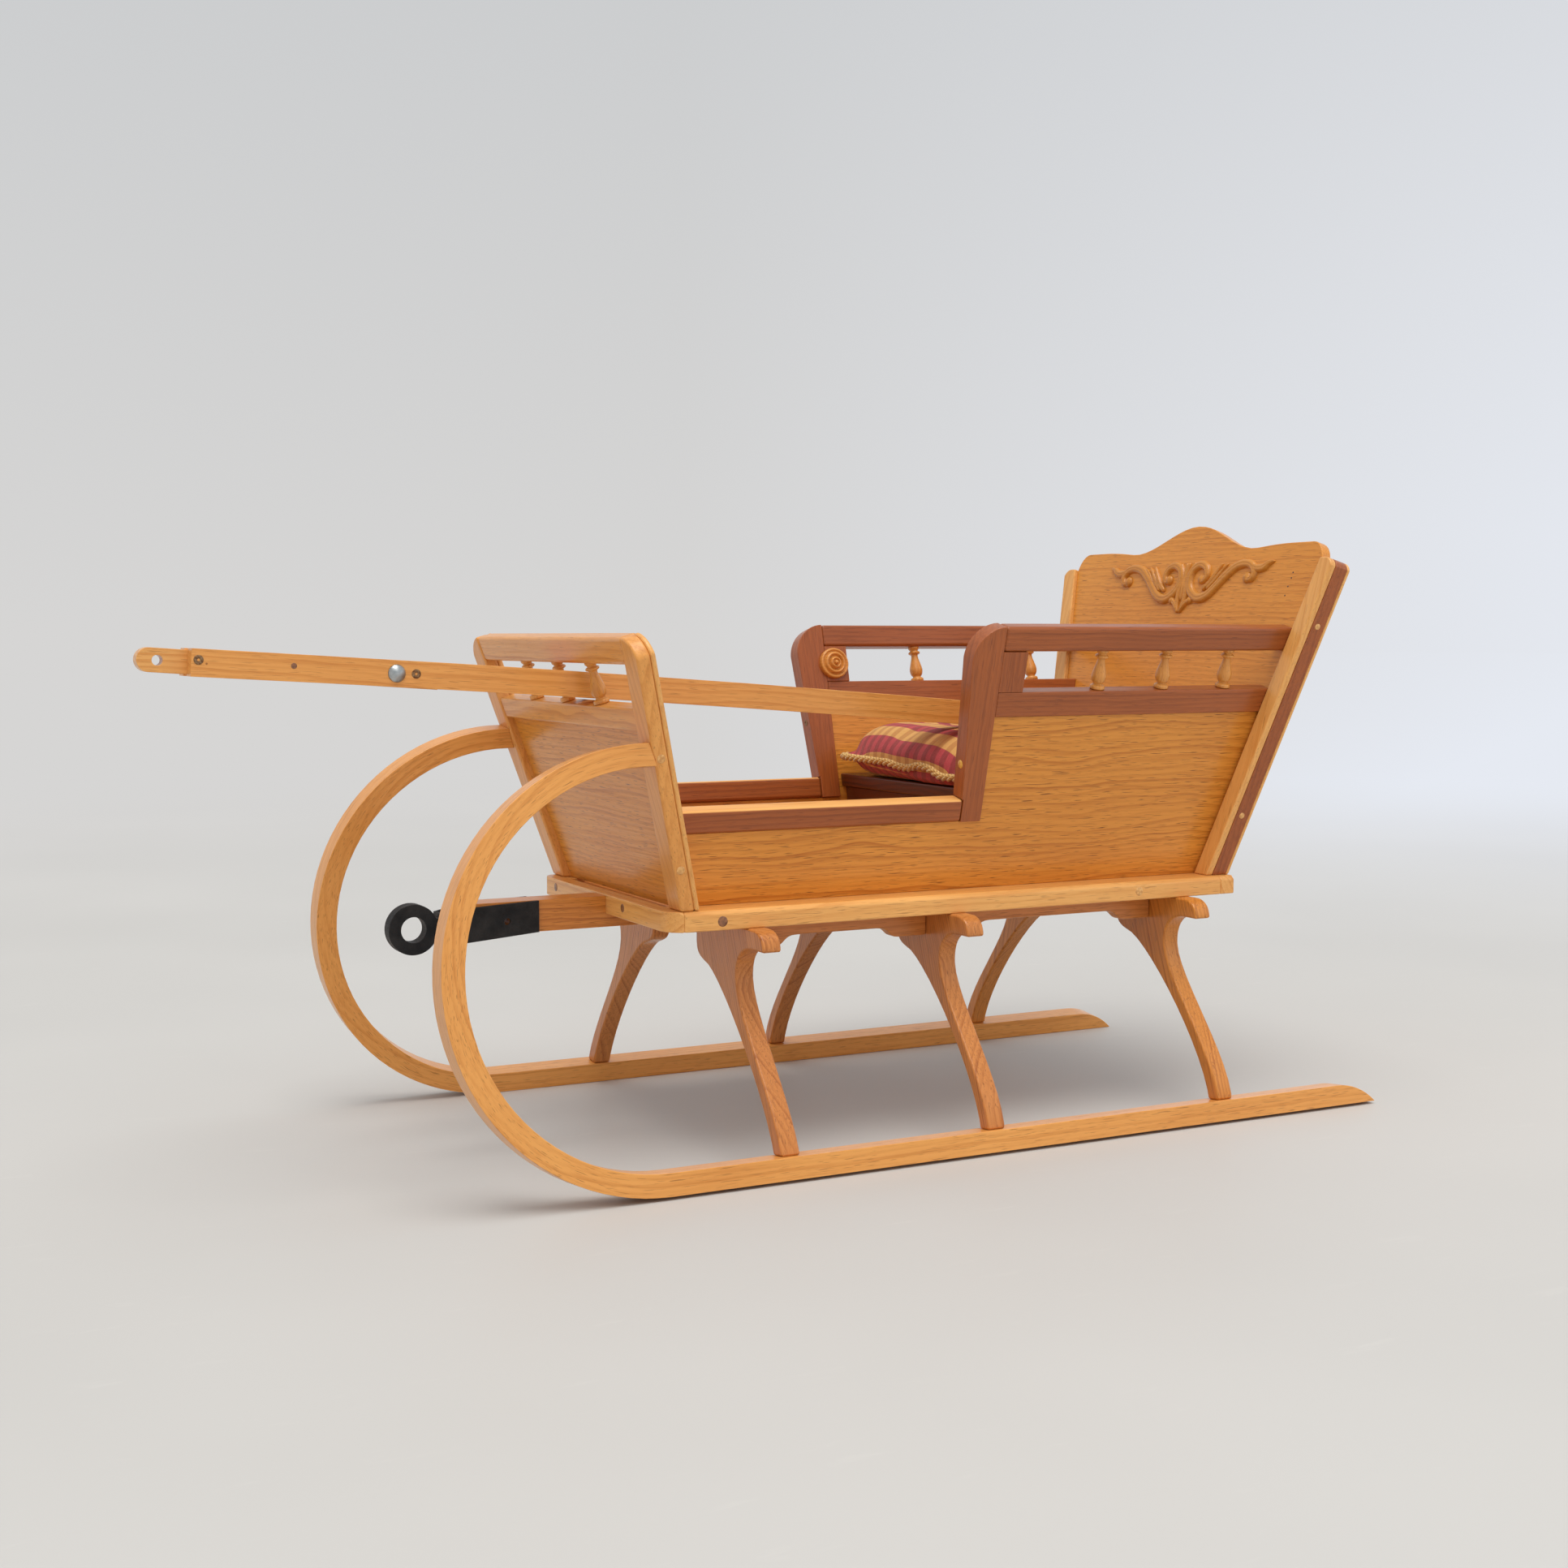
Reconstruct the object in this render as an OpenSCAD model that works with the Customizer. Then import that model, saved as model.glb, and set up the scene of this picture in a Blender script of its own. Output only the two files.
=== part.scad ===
/* [Runners] */
// Overall width across the outer edges of the two runners, on the ground
track_w = 652; // [600:1:720]
// Width of a runner, across the sleigh
runner_w = 35; // [26:1:44]
// Height of a runner, seen from the side
runner_h = 27.4; // [22:0.1:34]
// Outer radius of the bent front loop
loop_r = 262; // [240:1:275]
// Distance from the sleigh's middle to the start of the front loop
loop_x = 559; // [553:1:585]
// Distance from the sleigh's middle to the pointed tail
tail_x = 505; // [460:1:560]

/* [Deck] */
// Height of the deck's top above the ground
deck_top = 317; // [300:1:345]
// Thickness of the deck frame
deck_t = 25; // [20:1:30]
// How far the deck stands out beyond the dash posts' feet, on each side
deck_ledge = 3; // [0:1:20]
// Distance from the middle to the deck's front edge
deck_front = 517; // [510:1:540]
// Distance from the middle to the deck's rear edge
deck_rear = 337; // [337:1:370]
// Width of the two long deck rails
rail_w = 62; // [50:1:80]
// Thickness of the floor boards
floor_t = 20; // [15:1:20]
// Depth of the cap across the front end
front_cap = 21; // [18:1:30]
// Depth of the cap across the rear end
rear_cap = 23; // [18:1:30]

/* [Legs] */
// Place of the front pair of legs along the sleigh
leg_front_x = 400; // [380:1:420]
// Place of the middle pair of legs
leg_middle_x = 111; // [90:1:130]
// Place of the rear pair of legs
leg_rear_x = -250; // [-270:1:-230]
// Thickness of the leg planks
leg_t = 25; // [22:1:32]
// Outward bow of the middle and rear legs
leg_bow = 16; // [0:1:18]
// Reach of the horns beyond the deck's side
horn_reach = 42; // [30:1:50]
// Thickness of the scalloped aprons
apron_t = 20; // [14:1:26]
// Depth of an apron at its ends
apron_end_h = 35; // [28:1:42]
// Depth of an apron along its middle
apron_mid_h = 22; // [16:1:26]
// Distance from the deck's edge in to an apron's outer face
apron_inset = 59; // [52:1:72]

/* [Sides] */
// Distance between the outer faces of the sides, at the deck
side_w = 358; // [350:1:366]
// Outward lean of the sides, in degrees
side_flare = 13.8; // [11:0.1:15]
// Thickness of the trim and the arm rails
trim_t = 24; // [20:1:28]
// Thickness of the side panels
panel_t = 15; // [12:1:18]
// How far the side panels lie behind the trim's face
panel_inset = 4; // [3:1:6]
// Height of the low entry rail's top above the deck, along the side
sill_h = 123; // [110:1:135]
// Height of the entry rail's section
sill_rail_h = 30; // [24:1:36]
// Height of the arm's top above the deck, along the side
arm_h = 352; // [340:1:370]
// Height of the arm's top rail
arm_rail_h = 33; // [26:1:40]
// Height of the gap that the arm spindles stand in
arm_gap_h = 53; // [45:1:60]
// Height of the arm's lower rail
arm_low_h = 33; // [26:1:40]
// Place of the arm post's rear edge along the sleigh
arm_post_x = 66; // [50:1:80]
// Width of the arm post at its foot
arm_post_w = 30; // [26:1:40]
// Forward lean of the arm post's front edge, in degrees
arm_post_lean = 4; // [2:0.5:6]
// Radius of the arm's rounded front corner
arm_corner_r = 46; // [30:1:50]
// Length of the filler block behind the arm post
filler_l = 37; // [25:1:45]
// Diameter of the turned rosettes
rosette_d = 46; // [36:1:52]

/* [Spindles] */
// Largest diameter of the turned spindles
spindle_d = 20; // [12:1:22]
// Distance between the arm spindles
arm_spindle_gap = 104; // [80:1:110]
// Distance between the dash spindles
dash_spindle_gap = 115; // [112:1:124]

/* [Dash] */
// Forward lean of the dash, in degrees
dash_lean = 16.1; // [12:0.1:18]
// Setback of the dash's foot from the deck's front edge
dash_setback = 17.5; // [10:0.5:40]
// Width of a dash post
dash_post_w = 40; // [34:1:42]
// Thickness of a dash post
dash_post_t = 18; // [14:1:22]
// Thickness of the strip behind each dash post
dash_strip_t = 7; // [6:1:10]
// Length of the dash up its slope
dash_h = 342; // [330:1:360]
// Height of the dash's top rail
dash_top_h = 34; // [28:1:40]
// Height of the gap that the dash spindles stand in
dash_gap_h = 53; // [52:1:60]
// Height of the dash's middle rail
dash_mid_h = 28; // [22:1:34]
// Thickness of the dash's panel
dash_panel_t = 11; // [8:1:14]
// Radius of the dash's upper corners
dash_corner_r = 38; // [20:1:41]

/* [Back] */
// Backward lean of the back, in degrees
back_lean = 15.5; // [12:0.1:18]
// Setback of the back's front face from the deck's rear edge, at the foot
back_setback = 37; // [36:1:70]
// Width of a back post
back_post_w = 28; // [24:1:36]
// Thickness of the pale batten on the front of a back post
batten_t = 10; // [8:1:14]
// Thickness of the walnut core of a back post
back_core_t = 21; // [16:1:24]
// Thickness of the pale strip on the rear of a back post
back_strip_t = 5; // [4:1:8]
// Length of the back posts up their slope
back_post_h = 455; // [430:1:480]
// Thickness of the back panel
back_panel_t = 16; // [14:1:20]
// How far the back panel lies behind the battens' face
back_inset = 6; // [4:1:10]
// Height of the crest's shoulders above the posts
crest_shoulder = 20; // [12:1:30]
// Height of the crest's peak above its valleys
crest_peak = 39; // [25:1:50]
// Half the width of the crest's middle hump
crest_hump = 140; // [110:1:160]
// Thickness of the carved ornament
ornament_t = 6; // [4:1:8]

/* [Seat] */
// Height of the seat board's top above the ground
seat_z = 446; // [435:1:460]
// Distance from the middle to the seat's front, towards the dash
seat_front_x = 60; // [45:1:66]
// Thickness of the seat boards
seat_t = 18; // [14:1:22]
// Thickness of the cushion
cushion_t = 62; // [50:1:64]
// Room between the cushion and the side panels, at the seat
cushion_gap = 12; // [8:1:30]
// How far the cushion overhangs the seat's front
cushion_overhang = 18; // [5:1:22]
// Turn of the cushion on the seat, in degrees
cushion_turn = 1.5; // [0:0.5:2]

/* [Draw bar] */
// Width and height of the draw beam
beam_s = 40; // [34:1:46]
// Distance from the middle to the draw eye's centre
eye_x = 767; // [755:1:785]
// Diameter of the draw eye's hole
eye_bore = 32; // [26:1:34]
// Outer diameter of the draw eye
eye_d = 63; // [56:1:70]
// Thickness of the draw eye across the sleigh
eye_t = 20; // [14:1:24]
// Thickness of the iron plates
plate_t = 5; // [3:1:7]
// Diameter of the hole in the iron plates
plate_bore = 8.6; // [6:0.1:10]

/* [Shaft] */
// Distance from the middle to the tip of the shaft's tongue
shaft_tip_x = 1099; // [1080:1:1150]
// Length of the shaft's beams
shaft_l = 1233; // [1050:1:1250]
// Height of the shaft's beams
shaft_h = 32; // [26:1:36]
// Thickness of each of the shaft's beams
shaft_t = 24; // [18:1:26]
// Thickness of the tongue between the beams
tongue_t = 21; // [16:1:24]
// Length of the tongue that stands out in front of the beams
tongue_out = 56; // [40:1:70]
// Diameter of the hole in the tongue's tip
tongue_bore = 12; // [8:1:16]
// Diameter of the coach bolt's head
bolt_d = 22; // [16:1:26]
// Slope of the shaft, in degrees
shaft_slope = 4.1; // [3:0.1:5]

/* [Hidden] */
$fn = 64;
SIDES = [1, -1];

FAR = 2000;                 // longer than anything here, for cutting blocks
GAP = 0.3;                  // fit between pieces that meet at a slope
deck_bottom = deck_top - deck_t;
deck_w = side_w + 2 * (dash_post_w + deck_ledge);
apron_span = deck_w - 2 * apron_inset;
dash_x = deck_front - dash_setback;
back_x = deck_rear - back_setback;
shaft_y = dash_spindle_gap / 2;    // midway between two spindles of the dash
dash_t = dash_post_t + dash_strip_t;
back_t = batten_t + back_core_t + back_strip_t;
sill_low = sill_h - sill_rail_h;
arm_gap_top = arm_h - arm_rail_h;
arm_gap_low = arm_gap_top - arm_gap_h;
arm_low = arm_gap_low - arm_low_h;
opening_x = arm_post_x - filler_l;
dash_gap_top = dash_h - dash_top_h;
dash_gap_low = dash_gap_top - dash_gap_h;
dash_mid_low = dash_gap_low - dash_mid_h;
// the runners lean in so that each loop's inner face meets the inner edge of its dash post
loop_top_h = (2 * loop_r - deck_top) / cos(dash_lean);
runner_cant = asin((track_w / 2 - runner_w - dash_half(loop_top_h)) / (2 * loop_r));
// the runners stand on their inner edges
runner_foot_y = track_w / 2 - runner_w * cos(runner_cant);
leg_top_y = deck_w / 2 + horn_reach;
crest_top = back_post_h + crest_shoulder;
// the origin is the middle of the whole sleigh's box, on the ground
shaft_tip_r = shaft_h / 2 - 2;
mid_x = (shaft_tip_x - tail_x) / 2;

// Half the clear width between the dash posts at a height h up the dash
function dash_half(h) = side_w / 2 + h * cos(dash_lean) * tan(side_flare);
// Half the clear width between the back posts at a height h up the back
function back_half(h) = side_w / 2 + h * cos(back_lean) * tan(side_flare);
// A cubic curve through a and d, pulled towards b and c
function curve(a, b, c, d, steps = 12) =
    [for (i = [0 : steps]) let (t = i / steps, s = 1 - t)
        s * s * s * a + 3 * s * s * t * b + 3 * s * t * t * c + t * t * t * d];

// ---------- places ----------
module at_origin() translate([-mid_x, 0, 0]) children();
// The left side as it is, and the right side as its mirror image
module on_side(s) if (s > 0) children(); else mirror([0, 1, 0]) children();

// A plank whose outline lies along the sleigh, from y = y0 to y1
module plank_along(y0, y1) translate([0, y1, 0]) rotate([90, 0, 0]) linear_extrude(y1 - y0) children();
// A plank whose outline lies across the sleigh, from x = x0 to x1
module plank_across(x0, x1) translate([x0, 0, 0]) rotate([90, 0, 90]) linear_extrude(x1 - x0) children();

module in_runner_plane() translate([0, runner_foot_y, 0]) rotate([runner_cant, 0, 0]) children();
module in_side_plane() translate([0, side_w / 2, deck_top]) rotate([-side_flare, 0, 0]) children();
module in_dash_plane() translate([dash_x, 0, deck_top]) rotate([0, dash_lean, 0]) children();
module in_back_plane() translate([-back_x, 0, deck_top]) rotate([0, -back_lean, 0]) children();
// the shaft's beams bow downwards by themselves towards their two ends
beam_bend_r = 36000;
function beam_sag(x) = -x * x / (2 * beam_bend_r);
// the shaft lies on the dash's middle rail, at that rail's upper rear edge
rest_x = dash_x - dash_t * cos(dash_lean) + dash_gap_low * sin(dash_lean);
rest_z = deck_top + dash_t * sin(dash_lean) + dash_gap_low * cos(dash_lean) + 1;
tip_z = beam_sag((shaft_tip_x - rest_x) / cos(shaft_slope) - tongue_out) + shaft_h / 2;
tip_run = (shaft_tip_x - shaft_tip_r - rest_x) / cos(shaft_slope);
shaft_front = tip_run + tip_z * tan(shaft_slope) + shaft_tip_r;
module in_shaft() translate([rest_x, shaft_y, rest_z]) rotate([0, -shaft_slope, 0]) children();

module above_deck() translate([-FAR / 2, -FAR / 2, deck_top]) cube([FAR, FAR, FAR]);
// Everything behind the dash's front face
module behind_dash() in_dash_plane() translate([-FAR, -FAR / 2, -FAR / 2]) cube([FAR, FAR, FAR]);
// The room between the dash's rear face and the back panel's front face
module between_ends() intersection() {
    above_deck();
    in_dash_plane() translate([-FAR - dash_t, -FAR / 2, -FAR / 2]) cube([FAR, FAR, FAR]);
    in_back_plane() translate([-back_inset, -FAR / 2, -FAR / 2]) cube([FAR, FAR, FAR]);
}

// ---------- runners ----------
module runner_outline() {
    tail_l = 65;
    tail_r = (tail_l * tail_l + runner_h * runner_h) / (2 * runner_h);
    difference() {
        translate([loop_x, loop_r]) circle(loop_r, $fn = 128);
        translate([loop_x, loop_r]) circle(loop_r - runner_h, $fn = 128);
        translate([loop_x - FAR, -1]) square([FAR, 2 * loop_r + 2]);
    }
    translate([-tail_x + tail_l, 0]) square([loop_x + tail_x - tail_l + 0.01, runner_h]);
    intersection() {
        translate([-tail_x, 0]) square([tail_l + 0.01, runner_h]);
        translate([-tail_x + tail_l, runner_h - tail_r]) circle(tail_r, $fn = 128);
    }
    translate([loop_x - 60, 2 * loop_r - runner_h]) square([60.01, runner_h]);
}

module runner(s) color("burlywood") on_side(s) difference() {
    in_runner_plane() plank_along(0, runner_w) runner_outline();
    behind_dash_above_deck();
}
module behind_dash_above_deck() intersection() {
    behind_dash();
    above_deck();
}

// ---------- legs ----------
module leg_outline(bow) {
    foot_y = runner_foot_y + runner_w / 2 * cos(runner_cant) - runner_h * sin(runner_cant);
    foot_z = runner_h - 6;
    foot_half = 12;
    top = deck_bottom;
    horn = curve([leg_top_y - 25, top], [leg_top_y - 8, top - 1],
                 [leg_top_y, top - 11], [leg_top_y, top - 25]);
    neck_y = leg_top_y - 76 + bow / 2;
    crotch = curve([leg_top_y - 26, top - 25], [leg_top_y - 62 + bow / 2, top - 24],
                   [neck_y - 2, top - 42], [neck_y, top - 68]);
    outer = curve([neck_y, top - 68], [neck_y + 4, top - 115],
                  [foot_y - 4 + bow, foot_z + 62], [foot_y + foot_half, foot_z]);
    knee_y = leg_top_y - 159 + bow;
    inner = curve([foot_y - foot_half + bow / 4, foot_z], [foot_y - 36 + bow, foot_z + 68],
                  [knee_y + 50, top - 84], [knee_y, top - 62]);
    knee = curve([knee_y, top - 62], [knee_y - 21, top - 56],
                 [knee_y - 35, top - 54], [knee_y - 36, top - 36], 8);
    polygon(concat(horn, crotch, outer, inner, knee, [[knee_y - 36, top]]));
}

module leg(s, x, bow = leg_bow) color("peru") on_side(s) difference() {
    plank_across(x - leg_t / 2, x + leg_t / 2) leg_outline(bow);
    in_runner_plane() translate([-FAR / 2, -FAR / 2, runner_h - FAR]) cube([FAR, FAR, FAR]);
}

module apron_outline(x0, x1) {
    lobe = 42;
    ogee = 32;
    end_z = deck_bottom - apron_end_h;
    mid_z = deck_bottom - apron_mid_h;
    polygon(concat(
        [[x0, deck_bottom], [x0, end_z]],
        curve([x0 + lobe, end_z], [x0 + lobe + ogee / 2, end_z],
              [x0 + lobe + ogee / 3, mid_z], [x0 + lobe + ogee, mid_z], 8),
        curve([x1 - lobe - ogee, mid_z], [x1 - lobe - ogee / 3, mid_z],
              [x1 - lobe - ogee / 2, end_z], [x1 - lobe, end_z], 8),
        [[x1, end_z], [x1, deck_bottom]]));
}

module aprons(s) color("sandybrown") on_side(s) plank_along(apron_span / 2 - apron_t, apron_span / 2) {
    apron_outline(leg_middle_x + leg_t / 2, leg_front_x - leg_t / 2);
    apron_outline(leg_rear_x + leg_t / 2, leg_middle_x - leg_t / 2);
}

// ---------- deck ----------
module deck_outline() {
    corner = 30;
    union() {
        translate([-deck_rear, -deck_w / 2]) square([deck_rear + deck_front - corner, deck_w]);
        translate([deck_front - corner - 1, -deck_w / 2 + corner]) square([corner + 1, deck_w - 2 * corner]);
        for (s = SIDES) translate([deck_front - corner, s * (deck_w / 2 - corner)]) circle(corner);
    }
}

// The deck frame's section, with its upper outer edges taken off
module deck_block() translate([0, 0, deck_bottom]) difference() {
    linear_extrude(deck_t) deck_outline();
    chamfer = 5;
    for (s = SIDES) translate([0, s * deck_w / 2, deck_t]) rotate([45, 0, 0])
        cube([FAR, chamfer * sqrt(2), chamfer * sqrt(2)], center = true);
}

module deck_rail(s) color("burlywood") intersection() {
    deck_block();
    translate([-deck_rear + rear_cap, s > 0 ? deck_w / 2 - rail_w : -deck_w / 2, 0])
        cube([deck_rear + deck_front - rear_cap - front_cap, rail_w, FAR]);
}
module deck_cap_front() color("burlywood") intersection() {
    deck_block();
    translate([deck_front - front_cap, -FAR / 2, 0]) cube([FAR, FAR, FAR]);
}
module deck_cap_rear() color("burlywood") intersection() {
    deck_block();
    translate([-deck_rear, -FAR / 2, 0]) cube([rear_cap, FAR, FAR]);
}
module floor_boards() color("peru") translate([-deck_rear + rear_cap, -deck_w / 2 + rail_w, deck_bottom])
    cube([deck_rear + deck_front - rear_cap - front_cap, deck_w - 2 * rail_w, floor_t]);

// ---------- draw bar ----------
beam_top = deck_top - 2;
beam_front = eye_x - eye_d / 2 - 16;
module draw_beam() color("peru") difference() {
    translate([leg_middle_x, -beam_s / 2, beam_top - beam_s])
        cube([beam_front - leg_middle_x, beam_s, beam_s]);
    translate([-FAR + deck_front, -FAR / 2, deck_bottom]) cube([FAR, FAR, FAR]);
    plate_hole();
}
plate_x = eye_x - 116;
module plate_hole() translate([plate_x, 0, beam_top - 24]) rotate([90, 0, 0])
    cylinder(h = FAR, d = plate_bore, center = true);

module draw_eye() color("dimgray") difference() {
    eye_z = beam_top - beam_s / 2 - 9;
    union() {
        for (s = SIDES) translate([0, s > 0 ? beam_s / 2 + plate_t : -beam_s / 2, 0]) rotate([90, 0, 0])
            linear_extrude(plate_t) polygon([
                [eye_x - 158, beam_top], [eye_x - 158, beam_top - beam_s],
                [eye_x - 60, beam_top - beam_s - 8], [beam_front + 12, beam_top - beam_s],
                [beam_front + 12, beam_top - 12], [eye_x - 72, beam_top - 4]]);
        translate([beam_front, -beam_s / 2, beam_top - beam_s]) cube([12, beam_s, beam_s - 12]);
        translate([beam_front + 6, -eye_t / 2, eye_z - 13]) cube([eye_d / 4 + 6, eye_t, 26]);
        translate([eye_x, 0, eye_z]) rotate([90, 0, 0]) cylinder(h = eye_t, d = eye_d, center = true);
    }
    translate([eye_x, 0, eye_z]) rotate([90, 0, 0]) cylinder(h = FAR, d = eye_bore, center = true);
    plate_hole();
}

// ---------- sides ----------
module side_panel_outline() {
    polygon([[-FAR / 2, -20], [FAR / 2, -20], [FAR / 2, sill_low], [arm_post_x, sill_low],
             [arm_post_x, arm_low], [-FAR / 2, arm_low]]);
}
module side_panel(s) color("sandybrown") on_side(s) intersection() {
    in_side_plane() plank_along(-panel_inset - panel_t, -panel_inset) side_panel_outline();
    between_ends();
}
module trim_piece() intersection() {
    in_side_plane() plank_along(-trim_t, 0) children();
    between_ends();
}
module sill_rail(s) color("sienna") on_side(s) trim_piece()
    translate([arm_post_x + arm_post_w, sill_low]) square([FAR, sill_rail_h]);

module arm_post_outline() {
    rise = arm_h - sill_low;
    lean_x = rise * tan(arm_post_lean);
    front_x = arm_post_x + arm_post_w;
    difference() {
        polygon([[arm_post_x, sill_low], [front_x, sill_low],
                 [front_x + lean_x, arm_h], [arm_post_x, arm_h]]);
        corner_x = front_x + lean_x - arm_corner_r - 3;
        translate([corner_x, arm_h - arm_corner_r]) difference() {
            square([FAR, FAR]);
            circle(arm_corner_r);
        }
    }
}
module arm_post(s) color("sienna") on_side(s) difference() {
    in_side_plane() plank_along(-trim_t, 0) arm_post_outline();
    in_side_plane() translate([arm_post_x + arm_post_w, -FAR / 2, sill_low - 1])
        cube([FAR, FAR, sill_rail_h + 1]);
}
module arm_lower_rail(s) color("sienna") on_side(s) trim_piece()
    translate([arm_post_x - FAR, arm_low]) square([FAR, arm_low_h]);
module arm_top_rail(s) color("sienna") on_side(s) trim_piece()
    translate([arm_post_x - FAR, arm_gap_top]) square([FAR, arm_rail_h]);
module arm_filler(s) color("saddlebrown") on_side(s) trim_piece()
    translate([opening_x, arm_gap_low]) square([filler_l, arm_gap_h]);

// ---------- turned pieces ----------
// A turned baluster of length l, with a foot ring, a belly, a neck and a cap
module spindle(l) rotate_extrude() polygon(concat(
    [[0, 0], [spindle_d * 0.38, 0]],
    curve([spindle_d * 0.38, 0], [spindle_d * 0.52, l * 0.02],
          [spindle_d * 0.52, l * 0.1], [spindle_d * 0.36, l * 0.13], 4),
    curve([spindle_d * 0.36, l * 0.13], [spindle_d * 0.6, l * 0.3],
          [spindle_d * 0.5, l * 0.48], [spindle_d * 0.3, l * 0.64], 6),
    curve([spindle_d * 0.3, l * 0.64], [spindle_d * 0.24, l * 0.78],
          [spindle_d * 0.34, l * 0.86], [spindle_d * 0.46, l * 0.92], 4),
    [[spindle_d * 0.42, l], [0, l]]));

module arm_spindles(s) color("wheat") on_side(s) in_side_plane()
    for (i = [1 : 3])
        translate([opening_x - 20 - i * arm_spindle_gap, -trim_t / 2, arm_gap_low]) spindle(arm_gap_h);
module arm_rosette(s) color("wheat") on_side(s) in_side_plane()
    translate([opening_x + filler_l * 0.66, -trim_t, (arm_gap_low + arm_gap_top) / 2])
        rotate([90, 0, 0]) rosette();
module rosette() rotate_extrude() polygon([
    [0, 0], [rosette_d * 0.5, 0], [rosette_d * 0.5, 3], [rosette_d * 0.45, 6], [rosette_d * 0.36, 6],
    [rosette_d * 0.34, 4.5], [rosette_d * 0.25, 4.5], [rosette_d * 0.23, 8], [rosette_d * 0.13, 9],
    [rosette_d * 0.1, 11], [rosette_d * 0.05, 14], [0, 14]]);

// ---------- dash ----------
module dash_post_outline() {
    out_low = dash_half(-20) + dash_post_w;
    out_top = dash_half(dash_h) + dash_post_w;
    r = dash_corner_r;
    difference() {
        polygon([[dash_half(-20), -20], [out_low, -20], [out_top, dash_h], [dash_half(dash_h), dash_h]]);
        translate([out_top - r - 4, dash_h - r]) difference() {
            square([FAR, FAR]);
            circle(r);
        }
    }
}
module dash_post(s) color("burlywood") on_side(s) intersection() {
    in_dash_plane() plank_across(-dash_post_t, 0) dash_post_outline();
    above_deck();
}
module dash_strip(s) color("wheat") on_side(s) intersection() {
    in_dash_plane() plank_across(-dash_t, -dash_post_t) dash_post_outline();
    above_deck();
}
module dash_band(low, high) polygon([
    [-dash_half(low), low], [dash_half(low), low], [dash_half(high), high], [-dash_half(high), high]]);
module dash_top_rail() color("burlywood")
    in_dash_plane() plank_across(-dash_t, -1) dash_band(dash_gap_top, dash_h);
module dash_mid_rail() color("burlywood")
    in_dash_plane() plank_across(-dash_t, -2) dash_band(dash_mid_low, dash_gap_low);
module dash_panel() color("peru") intersection() {
    in_dash_plane() plank_across(-11 - dash_panel_t, -11) dash_band(-20, dash_mid_low);
    above_deck();
}
module dash_spindles() color("wheat") in_dash_plane()
    for (i = [-1 : 1]) translate([-dash_t / 2, i * dash_spindle_gap, dash_gap_low]) spindle(dash_gap_h);

// ---------- back ----------
module back_post_outline() {
    low = -20;
    out_top = back_half(back_post_h) + back_post_w;
    r = 16;
    difference() {
        polygon([[back_half(low), low], [back_half(low) + back_post_w, low],
                 [out_top, back_post_h], [back_half(back_post_h), back_post_h]]);
        translate([out_top - r - 2, back_post_h - r]) difference() {
            square([FAR, FAR]);
            circle(r);
        }
    }
}
module back_layer(n0, n1) intersection() {
    in_back_plane() plank_across(n0, n1) back_post_outline();
    above_deck();
}
module back_batten(s) color("burlywood") on_side(s) back_layer(-batten_t, 0);
module back_post(s) color("sienna") on_side(s) back_layer(-batten_t - back_core_t, -batten_t);
module back_strip(s) color("wheat") on_side(s) back_layer(-back_t, -batten_t - back_core_t);

// Height of the crest at a distance y from the middle
function crest(y) = let (a = abs(y)) a < crest_hump
    ? crest_top + crest_peak * pow(cos(90 * a / crest_hump), 2)
    : crest_top + 5 * sin(min(90, 90 * (a - crest_hump) / 80));
module back_panel_outline() {
    low = -30;
    turn_h = back_post_h - 4;
    half_top = back_half(turn_h) - GAP;
    shoulder = half_top - 25;
    steps = 36;
    polygon(concat(
        [[-back_half(low) + GAP, low], [back_half(low) - GAP, low], [half_top, turn_h]],
        curve([half_top, turn_h], [half_top - 2, turn_h + 18],
              [shoulder + 12, crest(shoulder)], [shoulder, crest(shoulder)], 6),
        [for (i = [1 : steps - 1]) let (y = shoulder - 2 * shoulder * i / steps) [y, crest(y)]],
        curve([-shoulder, crest(shoulder)], [-shoulder - 12, crest(shoulder)],
              [-half_top + 2, turn_h + 18], [-half_top, turn_h], 6)));
}
module back_panel() color("peru") intersection() {
    in_back_plane() plank_across(-back_inset - back_panel_t, -back_inset) back_panel_outline();
    above_deck();
}

// The carved scrollwork: two swan-necked arms from a fan in the middle
module ornament_outline() {
    for (s = SIDES) {
        arm = curve([8 * s, -30], [60 * s, -52], [74 * s, 34], [128 * s, 30], 14);
        for (i = [1 : len(arm) - 1]) hull() {
            translate(arm[i - 1]) circle(8, $fn = 12);
            translate(arm[i]) circle(8, $fn = 12);
        }
        translate([124 * s, 12]) circle(13);
        translate([30 * s, 20]) circle(17);
        translate([150 * s, 22]) circle(12);
    }
    translate([-12, -50]) square([24, 84]);
}
module back_ornament() color("goldenrod") in_back_plane()
    translate([0, 0, back_post_h - 38])
        plank_across(-back_inset, -back_inset + ornament_t) ornament_outline();

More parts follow.
